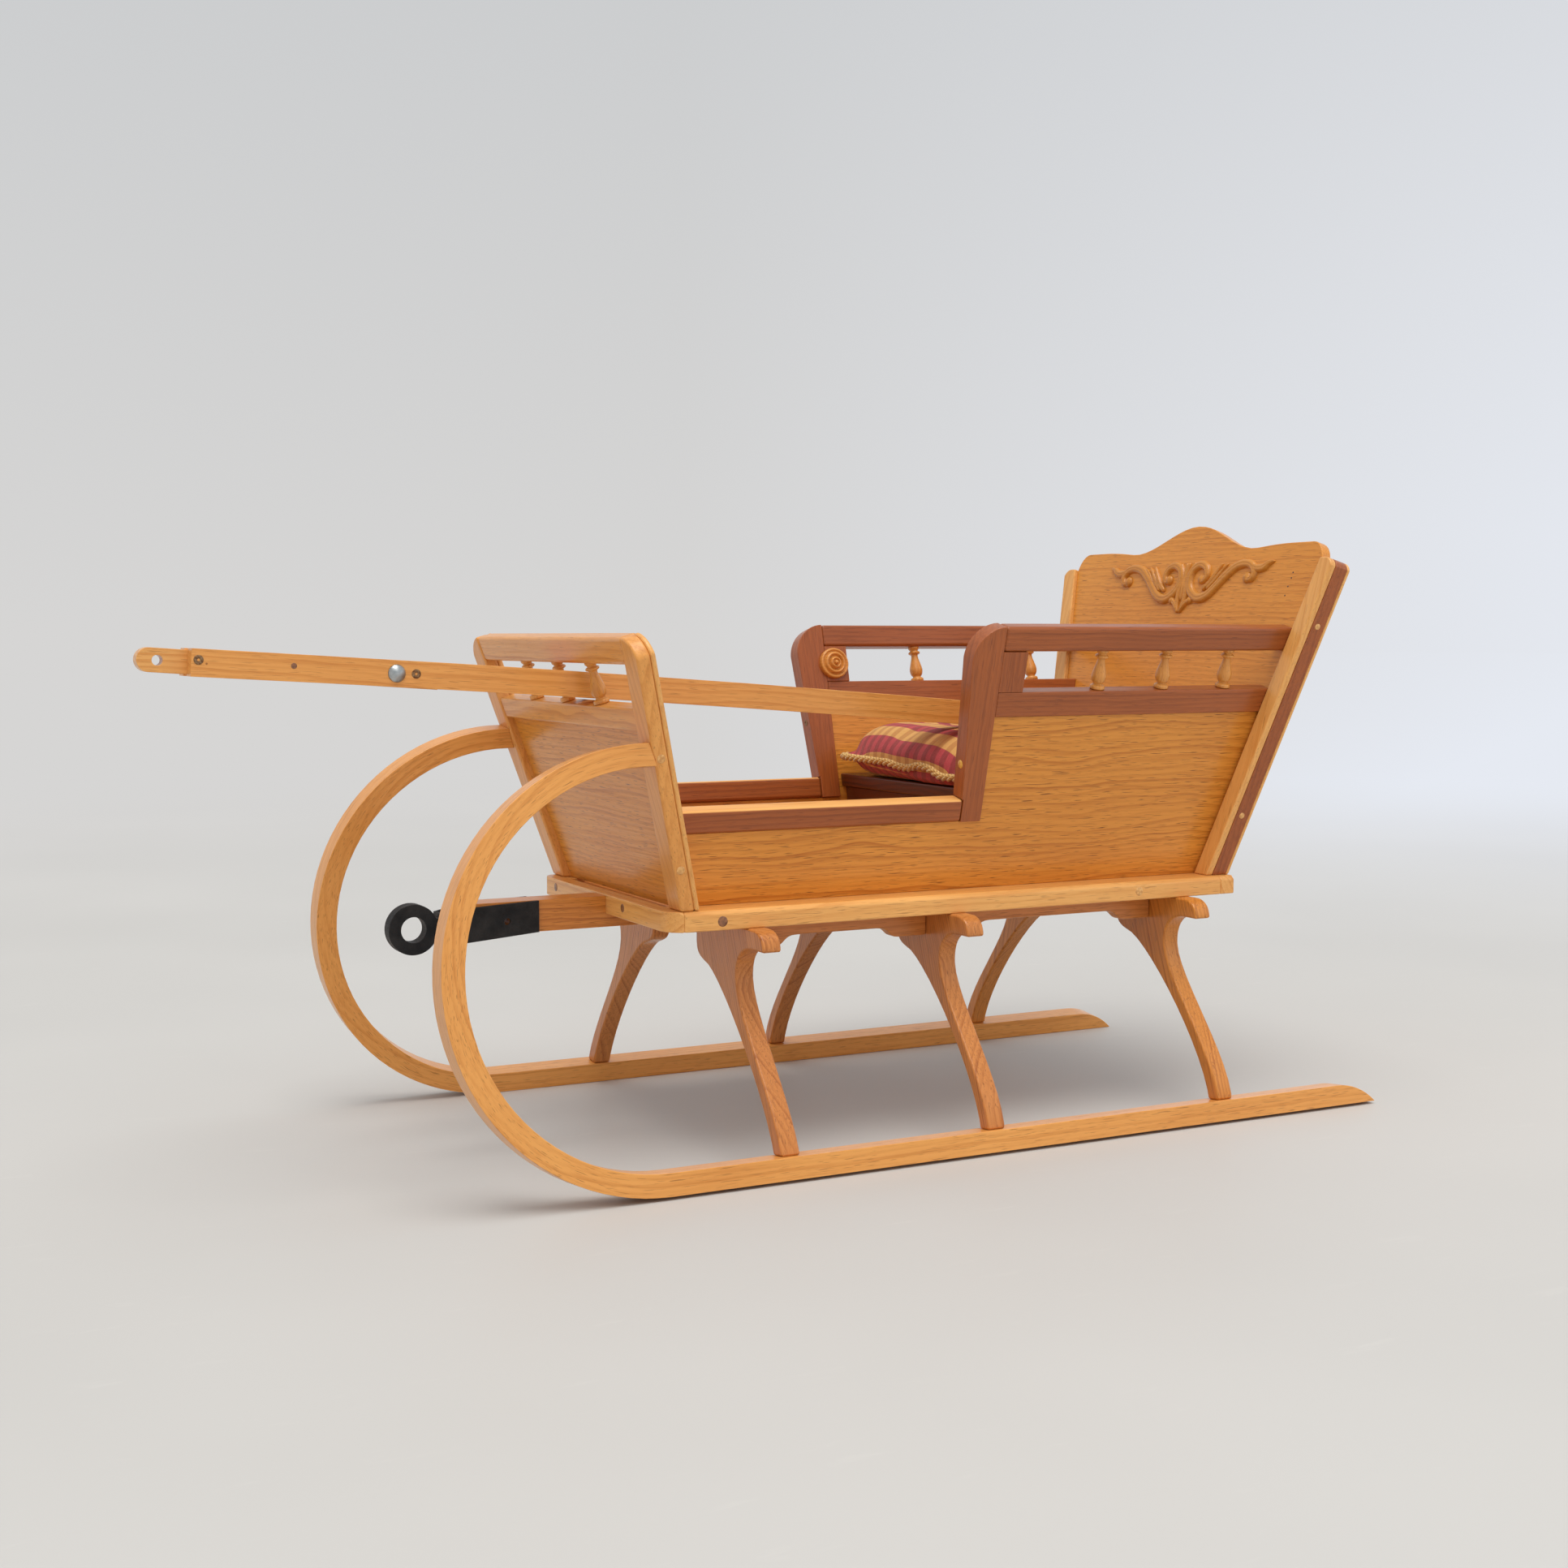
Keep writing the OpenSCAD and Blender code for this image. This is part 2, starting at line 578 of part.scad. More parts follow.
// ---------- seat ----------
// Half the room between the side panels at a height z above the deck
function room_half(z) = side_w / 2 + z * tan(side_flare) - (panel_inset + panel_t) / cos(side_flare) - GAP;
seat_low = seat_z - deck_top - seat_t;
module seat_section(low, high) polygon([
    [-room_half(low), deck_top + low], [room_half(low), deck_top + low],
    [room_half(high), deck_top + high], [-room_half(high), deck_top + high]]);
module seat_board() color("saddlebrown") intersection() {
    plank_across(-FAR / 2, seat_front_x) seat_section(seat_low, seat_low + seat_t);
    between_ends();
}
module seat_front() color("saddlebrown")
    plank_across(seat_front_x - seat_t - 6, seat_front_x - 6) seat_section(0, seat_low);
cushion_rear = -back_x - tan(back_lean) * (seat_z + cushion_t - deck_top) + 30;
module seat_cushion() color("firebrick") translate([0, 0, seat_z + GAP]) rotate([0, 0, cushion_turn]) {
    l = seat_front_x + cushion_overhang - cushion_rear - 12;
    w = 2 * (room_half(seat_z - deck_top) - cushion_gap);
    translate([cushion_rear + 12, -w / 2, 0]) cube([l, w, cushion_t]);
}

// ---------- shaft ----------
shaft_rear = shaft_front - tongue_out - shaft_l;
module beam_outline() {
    steps = 16;
    low = [for (i = [0 : steps]) let (x = shaft_rear + shaft_l * i / steps) [x, beam_sag(x)]];
    high = [for (i = [steps : -1 : 0]) let (x = shaft_rear + shaft_l * i / steps) [x, beam_sag(x) + shaft_h]];
    polygon(concat(low, high));
}
module shaft_beam(s) color("wheat") in_shaft() difference() {
    near = s > 0 ? tongue_t / 2 : -tongue_t / 2 - shaft_t;
    plank_along(near, near + shaft_t) beam_outline();
    translate([shaft_bolt_at, 0, bolt_z]) rotate([90, 0, 0])
        cylinder(h = FAR, d = shaft_bolt_d, center = true);
}
shaft_bolt_d = 10;
shaft_bolt_at = shaft_front - 292;
bolt_z = beam_sag(shaft_bolt_at) + shaft_h / 2;
tongue_l = 350;
tongue_bore_back = 23;
module shaft_tongue() color("burlywood") in_shaft() difference() {
    union() {
        translate([shaft_front - tongue_l, -tongue_t / 2, tip_z - shaft_tip_r])
            cube([tongue_l - shaft_tip_r, tongue_t, 2 * shaft_tip_r]);
        translate([shaft_front - shaft_tip_r, 0, tip_z]) rotate([90, 0, 0])
            cylinder(h = tongue_t, r = shaft_tip_r, center = true);
    }
    translate([shaft_front - tongue_bore_back, 0, tip_z]) rotate([90, 0, 0])
        cylinder(h = FAR, d = tongue_bore, center = true);
    translate([shaft_bolt_at, 0, bolt_z]) rotate([90, 0, 0])
        cylinder(h = FAR, d = shaft_bolt_d, center = true);
}
module shaft_bolt() color("silver") in_shaft() translate([shaft_bolt_at, 0, bolt_z]) rotate([90, 0, 0]) {
    half = tongue_t / 2 + shaft_t;
    cylinder(h = 2 * half, d = shaft_bolt_d, center = true);
    translate([0, 0, half]) cylinder(h = 8, d = 17, $fn = 6);
    rotate([180, 0, 0]) translate([0, 0, half]) dome(bolt_d, 6);
}
module dome(d, h) {
    r = (d * d / 4 + h * h) / (2 * h);
    intersection() {
        translate([0, 0, h - r]) sphere(r);
        cylinder(h = h, d = d);
    }
}

at_origin() runner(1);  // runner_left
at_origin() runner(-1);  // runner_right
at_origin() leg(1, leg_front_x, 0);  // leg_front_left
at_origin() leg(-1, leg_front_x, 0);  // leg_front_right
at_origin() leg(1, leg_middle_x);  // leg_middle_left
at_origin() leg(-1, leg_middle_x);  // leg_middle_right
at_origin() leg(1, leg_rear_x);  // leg_rear_left
at_origin() leg(-1, leg_rear_x);  // leg_rear_right
at_origin() aprons(1);  // aprons_left
at_origin() aprons(-1);  // aprons_right
at_origin() deck_rail(1);  // deck_rail_left
at_origin() deck_rail(-1);  // deck_rail_right
at_origin() deck_cap_front();
at_origin() deck_cap_rear();
at_origin() floor_boards();
at_origin() draw_beam();
at_origin() draw_eye();
at_origin() side_panel(1);  // side_panel_left
at_origin() side_panel(-1);  // side_panel_right
at_origin() sill_rail(1);  // sill_rail_left
at_origin() sill_rail(-1);  // sill_rail_right
at_origin() arm_post(1);  // arm_post_left
at_origin() arm_post(-1);  // arm_post_right
at_origin() arm_lower_rail(1);  // arm_lower_rail_left
at_origin() arm_lower_rail(-1);  // arm_lower_rail_right
at_origin() arm_top_rail(1);  // arm_top_rail_left
at_origin() arm_top_rail(-1);  // arm_top_rail_right
at_origin() arm_filler(1);  // arm_filler_left
at_origin() arm_filler(-1);  // arm_filler_right
at_origin() arm_spindles(1);  // arm_spindles_left
at_origin() arm_spindles(-1);  // arm_spindles_right
at_origin() arm_rosette(1);  // arm_rosette_left
at_origin() arm_rosette(-1);  // arm_rosette_right
at_origin() dash_post(1);  // dash_post_left
at_origin() dash_post(-1);  // dash_post_right
at_origin() dash_strip(1);  // dash_strip_left
at_origin() dash_strip(-1);  // dash_strip_right
at_origin() dash_top_rail();
at_origin() dash_mid_rail();
at_origin() dash_panel();
at_origin() dash_spindles();
at_origin() back_batten(1);  // back_batten_left
at_origin() back_batten(-1);  // back_batten_right
at_origin() back_post(1);  // back_post_left
at_origin() back_post(-1);  // back_post_right
at_origin() back_strip(1);  // back_strip_left
at_origin() back_strip(-1);  // back_strip_right
at_origin() back_panel();
at_origin() back_ornament();
at_origin() seat_board();
at_origin() seat_front();
at_origin() seat_cushion();
at_origin() shaft_beam(1);  // shaft_beam_left
at_origin() shaft_beam(-1);  // shaft_beam_right
at_origin() shaft_tongue();
at_origin() shaft_bolt();
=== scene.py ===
"""Small horse drawn sleigh: varnished beech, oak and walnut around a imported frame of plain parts."""
import math

import bpy
import numpy as np
from mathutils import Matrix, Vector, noise


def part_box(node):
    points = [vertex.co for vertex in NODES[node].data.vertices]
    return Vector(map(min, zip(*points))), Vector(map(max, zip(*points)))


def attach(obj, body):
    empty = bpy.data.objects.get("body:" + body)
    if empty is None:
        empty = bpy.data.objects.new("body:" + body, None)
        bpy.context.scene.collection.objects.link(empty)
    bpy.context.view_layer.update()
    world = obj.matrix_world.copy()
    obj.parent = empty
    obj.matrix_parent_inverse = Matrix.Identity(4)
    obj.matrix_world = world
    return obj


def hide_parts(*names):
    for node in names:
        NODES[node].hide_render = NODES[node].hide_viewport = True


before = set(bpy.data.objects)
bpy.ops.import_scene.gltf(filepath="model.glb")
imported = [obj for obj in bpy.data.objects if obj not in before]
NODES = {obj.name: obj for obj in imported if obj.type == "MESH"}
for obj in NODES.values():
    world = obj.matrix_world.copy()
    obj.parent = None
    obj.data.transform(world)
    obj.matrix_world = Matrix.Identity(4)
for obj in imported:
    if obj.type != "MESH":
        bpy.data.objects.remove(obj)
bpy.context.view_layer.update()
MM = 0.001


# ---------- colours ----------
def srgb(r, g, b):
    """A colour as a painter mixes it, 0 to 255, in the renderer's linear values."""
    shares = [c / 255 for c in (r, g, b)]
    return tuple(c / 12.92 if c < 0.0405 else ((c + 0.055) / 1.055) ** 2.4 for c in shares) + (1.0,)


BEECH = (srgb(238, 170, 96), srgb(194, 116, 50))
BEECH_PALE = (srgb(240, 180, 108), srgb(206, 132, 64))
BEECH_RED = (srgb(214, 142, 80), srgb(154, 84, 38))
OAK = (srgb(232, 158, 74), srgb(178, 100, 38))
OAK_WARM = (srgb(220, 146, 72), srgb(158, 84, 34))
WALNUT = (srgb(172, 96, 52), srgb(108, 52, 25))
WALNUT_DARK = (srgb(112, 56, 30), srgb(64, 30, 17))
CARVED = (srgb(214, 146, 66), srgb(172, 102, 38))
TURNED = (srgb(228, 160, 84), srgb(190, 116, 52))


# ---------- node helpers ----------
def feed(tree, socket, value):
    """Sets a socket to a value, or links it when the value is a socket itself."""
    if isinstance(value, bpy.types.NodeSocket):
        tree.links.new(value, socket)
    else:
        socket.default_value = value


def add(tree, kind, inputs=None, **settings):
    """A shader node of that kind. Inputs are values or sockets, by name or by number."""
    node = tree.nodes.new(kind)
    for name, value in settings.items():
        setattr(node, name, value)
    for name, value in (inputs or {}).items():
        feed(tree, node.inputs[name], value)
    return node


def maths(tree, operation, a, b=0.0, clamp=False):
    return add(tree, "ShaderNodeMath", {0: a, 1: b}, operation=operation, use_clamp=clamp).outputs[0]


def product(tree, a, b):
    return maths(tree, "MULTIPLY", a, b)


def scaled(tree, vector, factors):
    return add(tree, "ShaderNodeVectorMath", {0: vector, 1: factors}, operation="MULTIPLY").outputs[0]


def dot_product(tree, a, b):
    return add(tree, "ShaderNodeVectorMath", {0: a, 1: b}, operation="DOT_PRODUCT").outputs["Value"]


def noise_value(tree, vector, scale, detail=2.0, roughness=0.5):
    inputs = {"Vector": vector, "Scale": scale, "Detail": detail, "Roughness": roughness}
    return add(tree, "ShaderNodeTexNoise", inputs).outputs["Fac"]


def between(tree, value, low, high, to_low=0.0, to_high=1.0):
    """The value stretched from low..high to to_low..to_high, and held there."""
    inputs = {0: value, 1: low, 2: high, 3: to_low, 4: to_high}
    return add(tree, "ShaderNodeMapRange", inputs, clamp=True).outputs[0]


def mixed(tree, factor, a, b):
    """Colour a, turning into colour b as the factor goes from 0 to 1."""
    return add(tree, "ShaderNodeMix", {0: factor, 6: a, 7: b}, data_type="RGBA").outputs[2]


def object_place(tree):
    """The place on a piece, in metres of its own frame."""
    return tree.nodes.new("ShaderNodeTexCoord").outputs["Object"]


def new_group(name, inputs, outputs):
    """An empty node group with named sockets: {name: (kind, value)} in, and {name: kind} out."""
    tree = bpy.data.node_groups.new(name, "ShaderNodeTree")
    for label, (kind, value) in inputs.items():
        socket = tree.interface.new_socket(name=label, in_out="INPUT", socket_type="NodeSocket" + kind)
        if value is not None:
            socket.default_value = value
    for label, kind in outputs.items():
        tree.interface.new_socket(name=label, in_out="OUTPUT", socket_type="NodeSocket" + kind)
    return tree, tree.nodes.new("NodeGroupInput"), tree.nodes.new("NodeGroupOutput")


def use_group(tree, group, inputs):
    return add(tree, "ShaderNodeGroup", inputs, node_tree=group)


# ---------- shared effects ----------
def distance_from_zero(tree, a, b):
    squares = maths(tree, "ADD", product(tree, a, a), product(tree, b, b))
    return maths(tree, "SQRT", squares)


def make_wood_grain():
    """Growth rings, fibres and pores of a board whose fibres run along the vector's X."""
    tree, source, sink = new_group(
        "wood grain",
        {"Vector": ("Vector", None), "Ring Width": ("Float", 0.008), "Waviness": ("Float", 0.03)},
        {"Rings": "Float", "Fibres": "Float", "Pores": "Float", "Tone": "Float", "Height": "Float"},
    )
    along = scaled(tree, source.outputs["Vector"], (0.3, 1.0, 1.0))
    sway = maths(tree, "SUBTRACT", noise_value(tree, along, 8.0, 2.5), 0.5)
    sway = product(tree, sway, source.outputs["Waviness"])
    ripple = maths(tree, "SUBTRACT", noise_value(tree, along, 26.0), 0.5)
    ripple = product(tree, ripple, product(tree, source.outputs["Ring Width"], 1.5))
    split = add(tree, "ShaderNodeSeparateXYZ", {0: along})
    across = maths(tree, "ADD", split.outputs[1], sway)
    depth = maths(tree, "ADD", split.outputs[2], sway)
    radius = maths(tree, "ADD", distance_from_zero(tree, across, depth), ripple)
    count = maths(tree, "DIVIDE", radius, source.outputs["Ring Width"])
    turn = maths(tree, "FRACT", count)
    year = add(tree, "ShaderNodeTexWhiteNoise", {"W": maths(tree, "FLOOR", count)}, noise_dimensions="1D")
    weather = between(tree, year.outputs["Value"], 0.0, 1.0, 0.25, 1.0)
    late = between(tree, turn, 0.25, 0.88)
    early = between(tree, turn, 0.88, 1.0, 1.0, 0.0)
    rings = product(tree, product(tree, late, early), weather)
    fibres = noise_value(tree, scaled(tree, source.outputs["Vector"], (7.0, 330.0, 330.0)), 1.0, 3.0, 0.6)
    dashes = noise_value(tree, scaled(tree, source.outputs["Vector"], (42.0, 900.0, 900.0)), 1.0, 1.0)
    pores = between(tree, dashes, 0.60, 0.70)
    pores = product(tree, pores, between(tree, turn, 0.0, 0.9, 1.0, 0.35))
    tone = noise_value(tree, source.outputs["Vector"], 3.5)
    height = maths(tree, "SUBTRACT", product(tree, fibres, 0.5), product(tree, pores, 0.8))
    results = {"Rings": rings, "Fibres": fibres, "Pores": pores, "Tone": tone, "Height": height}
    for name, value in results.items():
        tree.links.new(value, sink.inputs[name])
    return tree


def make_bent_grain():
    """Turns places on a bent bow into board places, so that the fibres follow the bend."""
    tree, source, sink = new_group(
        "bent grain",
        {"Vector": ("Vector", None), "Centre X": ("Float", 0.0), "Centre Z": ("Float", 0.262),
         "Radius": ("Float", 0.25)},
        {"Vector": "Vector"},
    )
    split = add(tree, "ShaderNodeSeparateXYZ", {0: source.outputs["Vector"]})
    ahead = maths(tree, "SUBTRACT", split.outputs[0], source.outputs["Centre X"])
    bend = maths(tree, "MAXIMUM", ahead, 0.0)
    straight = maths(tree, "MINIMUM", ahead, 0.0)
    rise = maths(tree, "SUBTRACT", split.outputs[2], source.outputs["Centre Z"])
    radius = distance_from_zero(tree, bend, rise)
    angle = maths(tree, "ARCTAN2", bend, product(tree, rise, -1.0))
    arc = product(tree, angle, source.outputs["Radius"])
    board = {0: maths(tree, "ADD", straight, arc), 1: split.outputs[1], 2: radius}
    tree.links.new(add(tree, "ShaderNodeCombineXYZ", board).outputs[0], sink.inputs["Vector"])
    return tree


def make_edge_wear():
    """A mask of the outer edges, broken up by noise, where varnish is rubbed thin."""
    tree, source, sink = new_group(
        "edge wear", {"Vector": ("Vector", None), "Width": ("Float", 0.003)}, {"Mask": "Float"}
    )
    bevel = add(tree, "ShaderNodeBevel", {"Radius": source.outputs["Width"]}, samples=3)
    geometry = tree.nodes.new("ShaderNodeNewGeometry")
    flatness = dot_product(tree, bevel.outputs[0], geometry.outputs["Normal"])
    edge = between(tree, flatness, 0.80, 0.99, 1.0, 0.0)
    broken = between(tree, noise_value(tree, source.outputs["Vector"], 60.0, 3.0), 0.4, 0.65)
    tree.links.new(product(tree, edge, broken), sink.inputs["Mask"])
    return tree


def make_specks():
    """Sparse small dark marks: pin knots, nail holes and dents."""
    tree, source, sink = new_group(
        "specks",
        {"Vector": ("Vector", None), "Scale": ("Float", 18.0), "Size": ("Float", 0.05)},
        {"Mask": "Float"},
    )
    grid = {"Vector": source.outputs["Vector"], "Scale": source.outputs["Scale"]}
    cells = add(tree, "ShaderNodeTexVoronoi", grid)
    near = maths(tree, "LESS_THAN", cells.outputs["Distance"], source.outputs["Size"])
    pick = add(tree, "ShaderNodeSeparateXYZ", {0: cells.outputs["Color"]})
    rare = maths(tree, "GREATER_THAN", pick.outputs[0], 0.72)
    tree.links.new(product(tree, near, rare), sink.inputs["Mask"])
    return tree


WOOD_GRAIN = make_wood_grain()
BENT_GRAIN = make_bent_grain()
EDGE_WEAR = make_edge_wear()
SPECKS = make_specks()


# ---------- materials ----------
def blank_material(name):
    material = bpy.data.materials.new(name)
    material.use_nodes = True
    tree = material.node_tree
    tree.nodes.clear()
    shader = tree.nodes.new("ShaderNodeBsdfPrincipled")
    output = tree.nodes.new("ShaderNodeOutputMaterial")
    tree.links.new(shader.outputs[0], output.inputs["Surface"])
    return material, tree, shader


def finish_shader(tree, shader, colour, roughness, settings, bump=None):
    """Links colour and roughness, sets other inputs by name, and adds a bump: (height, strength, metres)."""
    tree.links.new(colour, shader.inputs["Base Color"])
    tree.links.new(roughness, shader.inputs["Roughness"])
    for name, value in settings.items():
        shader.inputs[name].default_value = value
    if bump:
        height, strength, distance = bump
        node = add(tree, "ShaderNodeBump", {"Height": height, "Strength": strength, "Distance": distance})
        tree.links.new(node.outputs[0], shader.inputs["Normal"])


def board_turn(grain, face):
    """The rotation that lays a board's fibres along X and its broad face's normal along Z."""
    along = Vector(grain).normalized()
    out = Vector(face)
    out = (out - out.dot(along) * along).normalized()
    side = out.cross(along)
    return Matrix((along, side, out)).to_euler()


LOG_LENGTH = 3.0
LOG_WIDTH = 0.12
SAPWOOD_BLUR = 0.0004
VARNISH = {"Saturation": 1.03, "Value": 0.97}


def wood(name, colours, grain=(1, 0, 0), face=(0, 0, 1), pith=0.09, ring=0.007, waviness=0.03, rings=0.75,
         pores=0.5, seed=0, gloss=0.45, bend=None, marks=0.0, sapwood=None):
    """Varnished wood. grain is the fibres' direction, face the broad side's normal, pith the tree's heart
    in metres below the face, ring a growth ring's width, bend the (x, z, radius) of a steamed bow, and
    sapwood (a direction, how far along it the wood turns pale). Each seed is another place in the log."""
    material, tree, shader = blank_material(name)
    place = object_place(tree)
    if bend:
        bow = {"Vector": place, "Centre X": bend[0], "Centre Z": bend[1], "Radius": bend[2]}
        place = use_group(tree, BENT_GRAIN, bow).outputs["Vector"]
    shift = (seed * 0.731 % 1.0 * LOG_LENGTH, (seed * 0.377 % 1.0 - 0.5) * LOG_WIDTH, pith)
    mapping = add(tree, "ShaderNodeMapping", {"Vector": place, "Location": shift}, vector_type="POINT")
    mapping.inputs["Rotation"].default_value = board_turn(grain, face)
    place = mapping.outputs[0]
    figure = use_group(tree, WOOD_GRAIN, {"Vector": place, "Ring Width": ring, "Waviness": waviness})
    amount = product(tree, figure.outputs["Rings"], rings)
    streaks = between(tree, figure.outputs["Fibres"], 0.3, 0.75, -0.20, 0.26)
    amount = maths(tree, "ADD", amount, streaks, clamp=True)
    colour = mixed(tree, amount, colours[0], colours[1])
    shade = between(tree, figure.outputs["Tone"], 0.3, 0.7, 0.0, 0.30)
    colour = mixed(tree, shade, colour, colours[1])
    dark = tuple(c * 0.45 for c in colours[1][:3]) + (1.0,)
    colour = mixed(tree, product(tree, figure.outputs["Pores"], pores), colour, dark)
    if sapwood:
        towards, limit = sapwood
        height = dot_product(tree, object_place(tree), towards)
        fresh = mixed(tree, amount, BEECH_PALE[0], BEECH_PALE[1])
        colour = mixed(tree, between(tree, height, limit - SAPWOOD_BLUR, limit + SAPWOOD_BLUR), colour, fresh)
    wear = use_group(tree, EDGE_WEAR, {"Vector": place})
    pale = tuple(min(1.0, c * 1.25 + 0.03) for c in colours[0][:3]) + (1.0,)
    colour = mixed(tree, product(tree, wear.outputs["Mask"], 0.5), colour, pale)
    if marks:
        specks = use_group(tree, SPECKS, {"Vector": place, "Scale": 20.0, "Size": marks})
        colour = mixed(tree, product(tree, specks.outputs["Mask"], 0.75), colour, dark)
    colour = add(tree, "ShaderNodeHueSaturation", {"Color": colour, **VARNISH}).outputs[0]
    rough = between(tree, figure.outputs["Fibres"], 0.3, 0.7, 0.30, 0.44)
    rough = maths(tree, "ADD", rough, product(tree, wear.outputs["Mask"], 0.15))
    coat = {"Specular IOR Level": 0.3, "Coat Weight": gloss, "Coat Roughness": 0.22, "Coat IOR": 1.36}
    finish_shader(tree, shader, colour, rough, coat, (figure.outputs["Height"], 0.35, 0.0006))
    return material


def forged_iron():
    """Black forge scale with hammer marks and a dull shine on the rubbed edges."""
    material, tree, shader = blank_material("forged_iron")
    place = object_place(tree)
    blows = add(tree, "ShaderNodeTexVoronoi", {"Vector": place, "Scale": 95.0}, feature="SMOOTH_F1")
    grit = noise_value(tree, place, 700.0, 3.0)
    patch = noise_value(tree, place, 45.0, 3.0)
    wear = use_group(tree, EDGE_WEAR, {"Vector": place, "Width": 0.002})
    colour = mixed(tree, between(tree, patch, 0.35, 0.7), srgb(22, 22, 23), srgb(46, 44, 43))
    colour = mixed(tree, product(tree, wear.outputs["Mask"], 0.6), colour, srgb(98, 96, 94))
    rough = between(tree, grit, 0.3, 0.7, 0.46, 0.68)
    height = maths(tree, "ADD", blows.outputs["Distance"], product(tree, grit, 0.12))
    finish_shader(tree, shader, colour, rough, {"Metallic": 0.55}, (height, 0.5, 0.0012))
    return material


def zinc_plate():
    """Dull zinc with fine scratches and faint clouding."""
    material, tree, shader = blank_material("zinc_plate")
    place = object_place(tree)
    cloud = noise_value(tree, place, 160.0, 3.0)
    lines = noise_value(tree, scaled(tree, place, (60.0, 900.0, 900.0)), 1.0, 2.0)
    wear = use_group(tree, EDGE_WEAR, {"Vector": place, "Width": 0.001})
    colour = mixed(tree, between(tree, cloud, 0.3, 0.7), srgb(150, 156, 158), srgb(186, 190, 190))
    colour = mixed(tree, wear.outputs["Mask"], colour, srgb(214, 216, 216))
    rough = between(tree, lines, 0.3, 0.7, 0.30, 0.50)
    finish_shader(tree, shader, colour, rough, {"Metallic": 0.9}, (lines, 0.15, 0.0003))
    return material


def screw_steel():
    """Old brown-grey screw steel."""
    material, tree, shader = blank_material("screw_steel")
    place = object_place(tree)
    rust = noise_value(tree, place, 420.0, 4.0)
    colour = mixed(tree, between(tree, rust, 0.4, 0.62), srgb(150, 120, 86), srgb(112, 72, 42))
    rough = between(tree, rust, 0.3, 0.7, 0.36, 0.62)
    finish_shader(tree, shader, colour, rough, {"Metallic": 0.75}, (rust, 0.25, 0.0003))
    return material


def plug_wood(name, light, dark):
    """End grain of a plug, clouded from light to dark."""
    material, tree, shader = blank_material(name)
    cloud = noise_value(tree, object_place(tree), 260.0, 2.0)
    colour = mixed(tree, between(tree, cloud, 0.35, 0.65), light, dark)
    rough = between(tree, cloud, 0.0, 1.0, 0.34, 0.46)
    finish_shader(tree, shader, colour, rough, {"Coat Weight": 0.4, "Coat Roughness": 0.2})
    return material


def weave_height(tree, place, pitch):
    """A plain weave: threads over and under along U and V, as a height from 0 to 1."""
    split = add(tree, "ShaderNodeSeparateXYZ", {0: place})
    turns = [product(tree, split.outputs[i], math.pi / pitch) for i in (0, 1)]
    warp = maths(tree, "ABSOLUTE", maths(tree, "SINE", turns[0]))
    weft = maths(tree, "ABSOLUTE", maths(tree, "SINE", turns[1]))
    return product(tree, warp, weft)


def striped_cloth():
    """Burgundy and gold bands with tone-on-tone ribs across them, from the cloth's own UV in metres."""
    material, tree, shader = blank_material("striped_cloth")
    place = add(tree, "ShaderNodeUVMap", uv_map="cloth").outputs[0]
    split = add(tree, "ShaderNodeSeparateXYZ", {0: place})
    drift = product(tree, maths(tree, "SUBTRACT", noise_value(tree, place, 30.0, 2.0), 0.5), 0.0016)
    band = 0.024
    rib = 0.0112

    def stripes(axis, width, blur):
        """(how far through its pair of stripes, which of the two) for a place along U or V."""
        turn = maths(tree, "DIVIDE", maths(tree, "ADD", split.outputs[axis], drift), 2 * width)
        turn = maths(tree, "FRACT", turn)
        from_middle = maths(tree, "ABSOLUTE", maths(tree, "SUBTRACT", turn, 0.5))
        return turn, between(tree, from_middle, 0.25 - blur, 0.25 + blur)

    is_gold = stripes(0, band, 0.005)[1]
    rib_turn, is_rib = stripes(1, rib, 0.025)
    red = mixed(tree, is_rib, srgb(184, 52, 64), srgb(146, 32, 42))
    gold = mixed(tree, is_rib, srgb(224, 172, 92), srgb(200, 142, 70))
    colour = mixed(tree, is_gold, gold, red)
    threads = noise_value(tree, scaled(tree, place, (180.0, 1800.0, 1.0)), 1.0, 2.0)
    colour = mixed(tree, between(tree, threads, 0.35, 0.75, 0.0, 0.22), colour, srgb(224, 140, 110))
    slub = noise_value(tree, place, 900.0, 2.0)
    colour = mixed(tree, between(tree, slub, 0.5, 0.7, 0.0, 0.25), colour, srgb(90, 40, 36))
    rough = between(tree, is_gold, 0.0, 1.0, 0.78, 0.66)
    ribs = maths(tree, "SINE", product(tree, rib_turn, 2 * math.pi))
    height = maths(tree, "ADD", weave_height(tree, place, 0.0011), product(tree, ribs, 0.5))
    sheen = {"Sheen Weight": 0.12, "Sheen Roughness": 0.4}
    finish_shader(tree, shader, colour, rough, sheen, (height, 0.5, 0.0005))
    return material


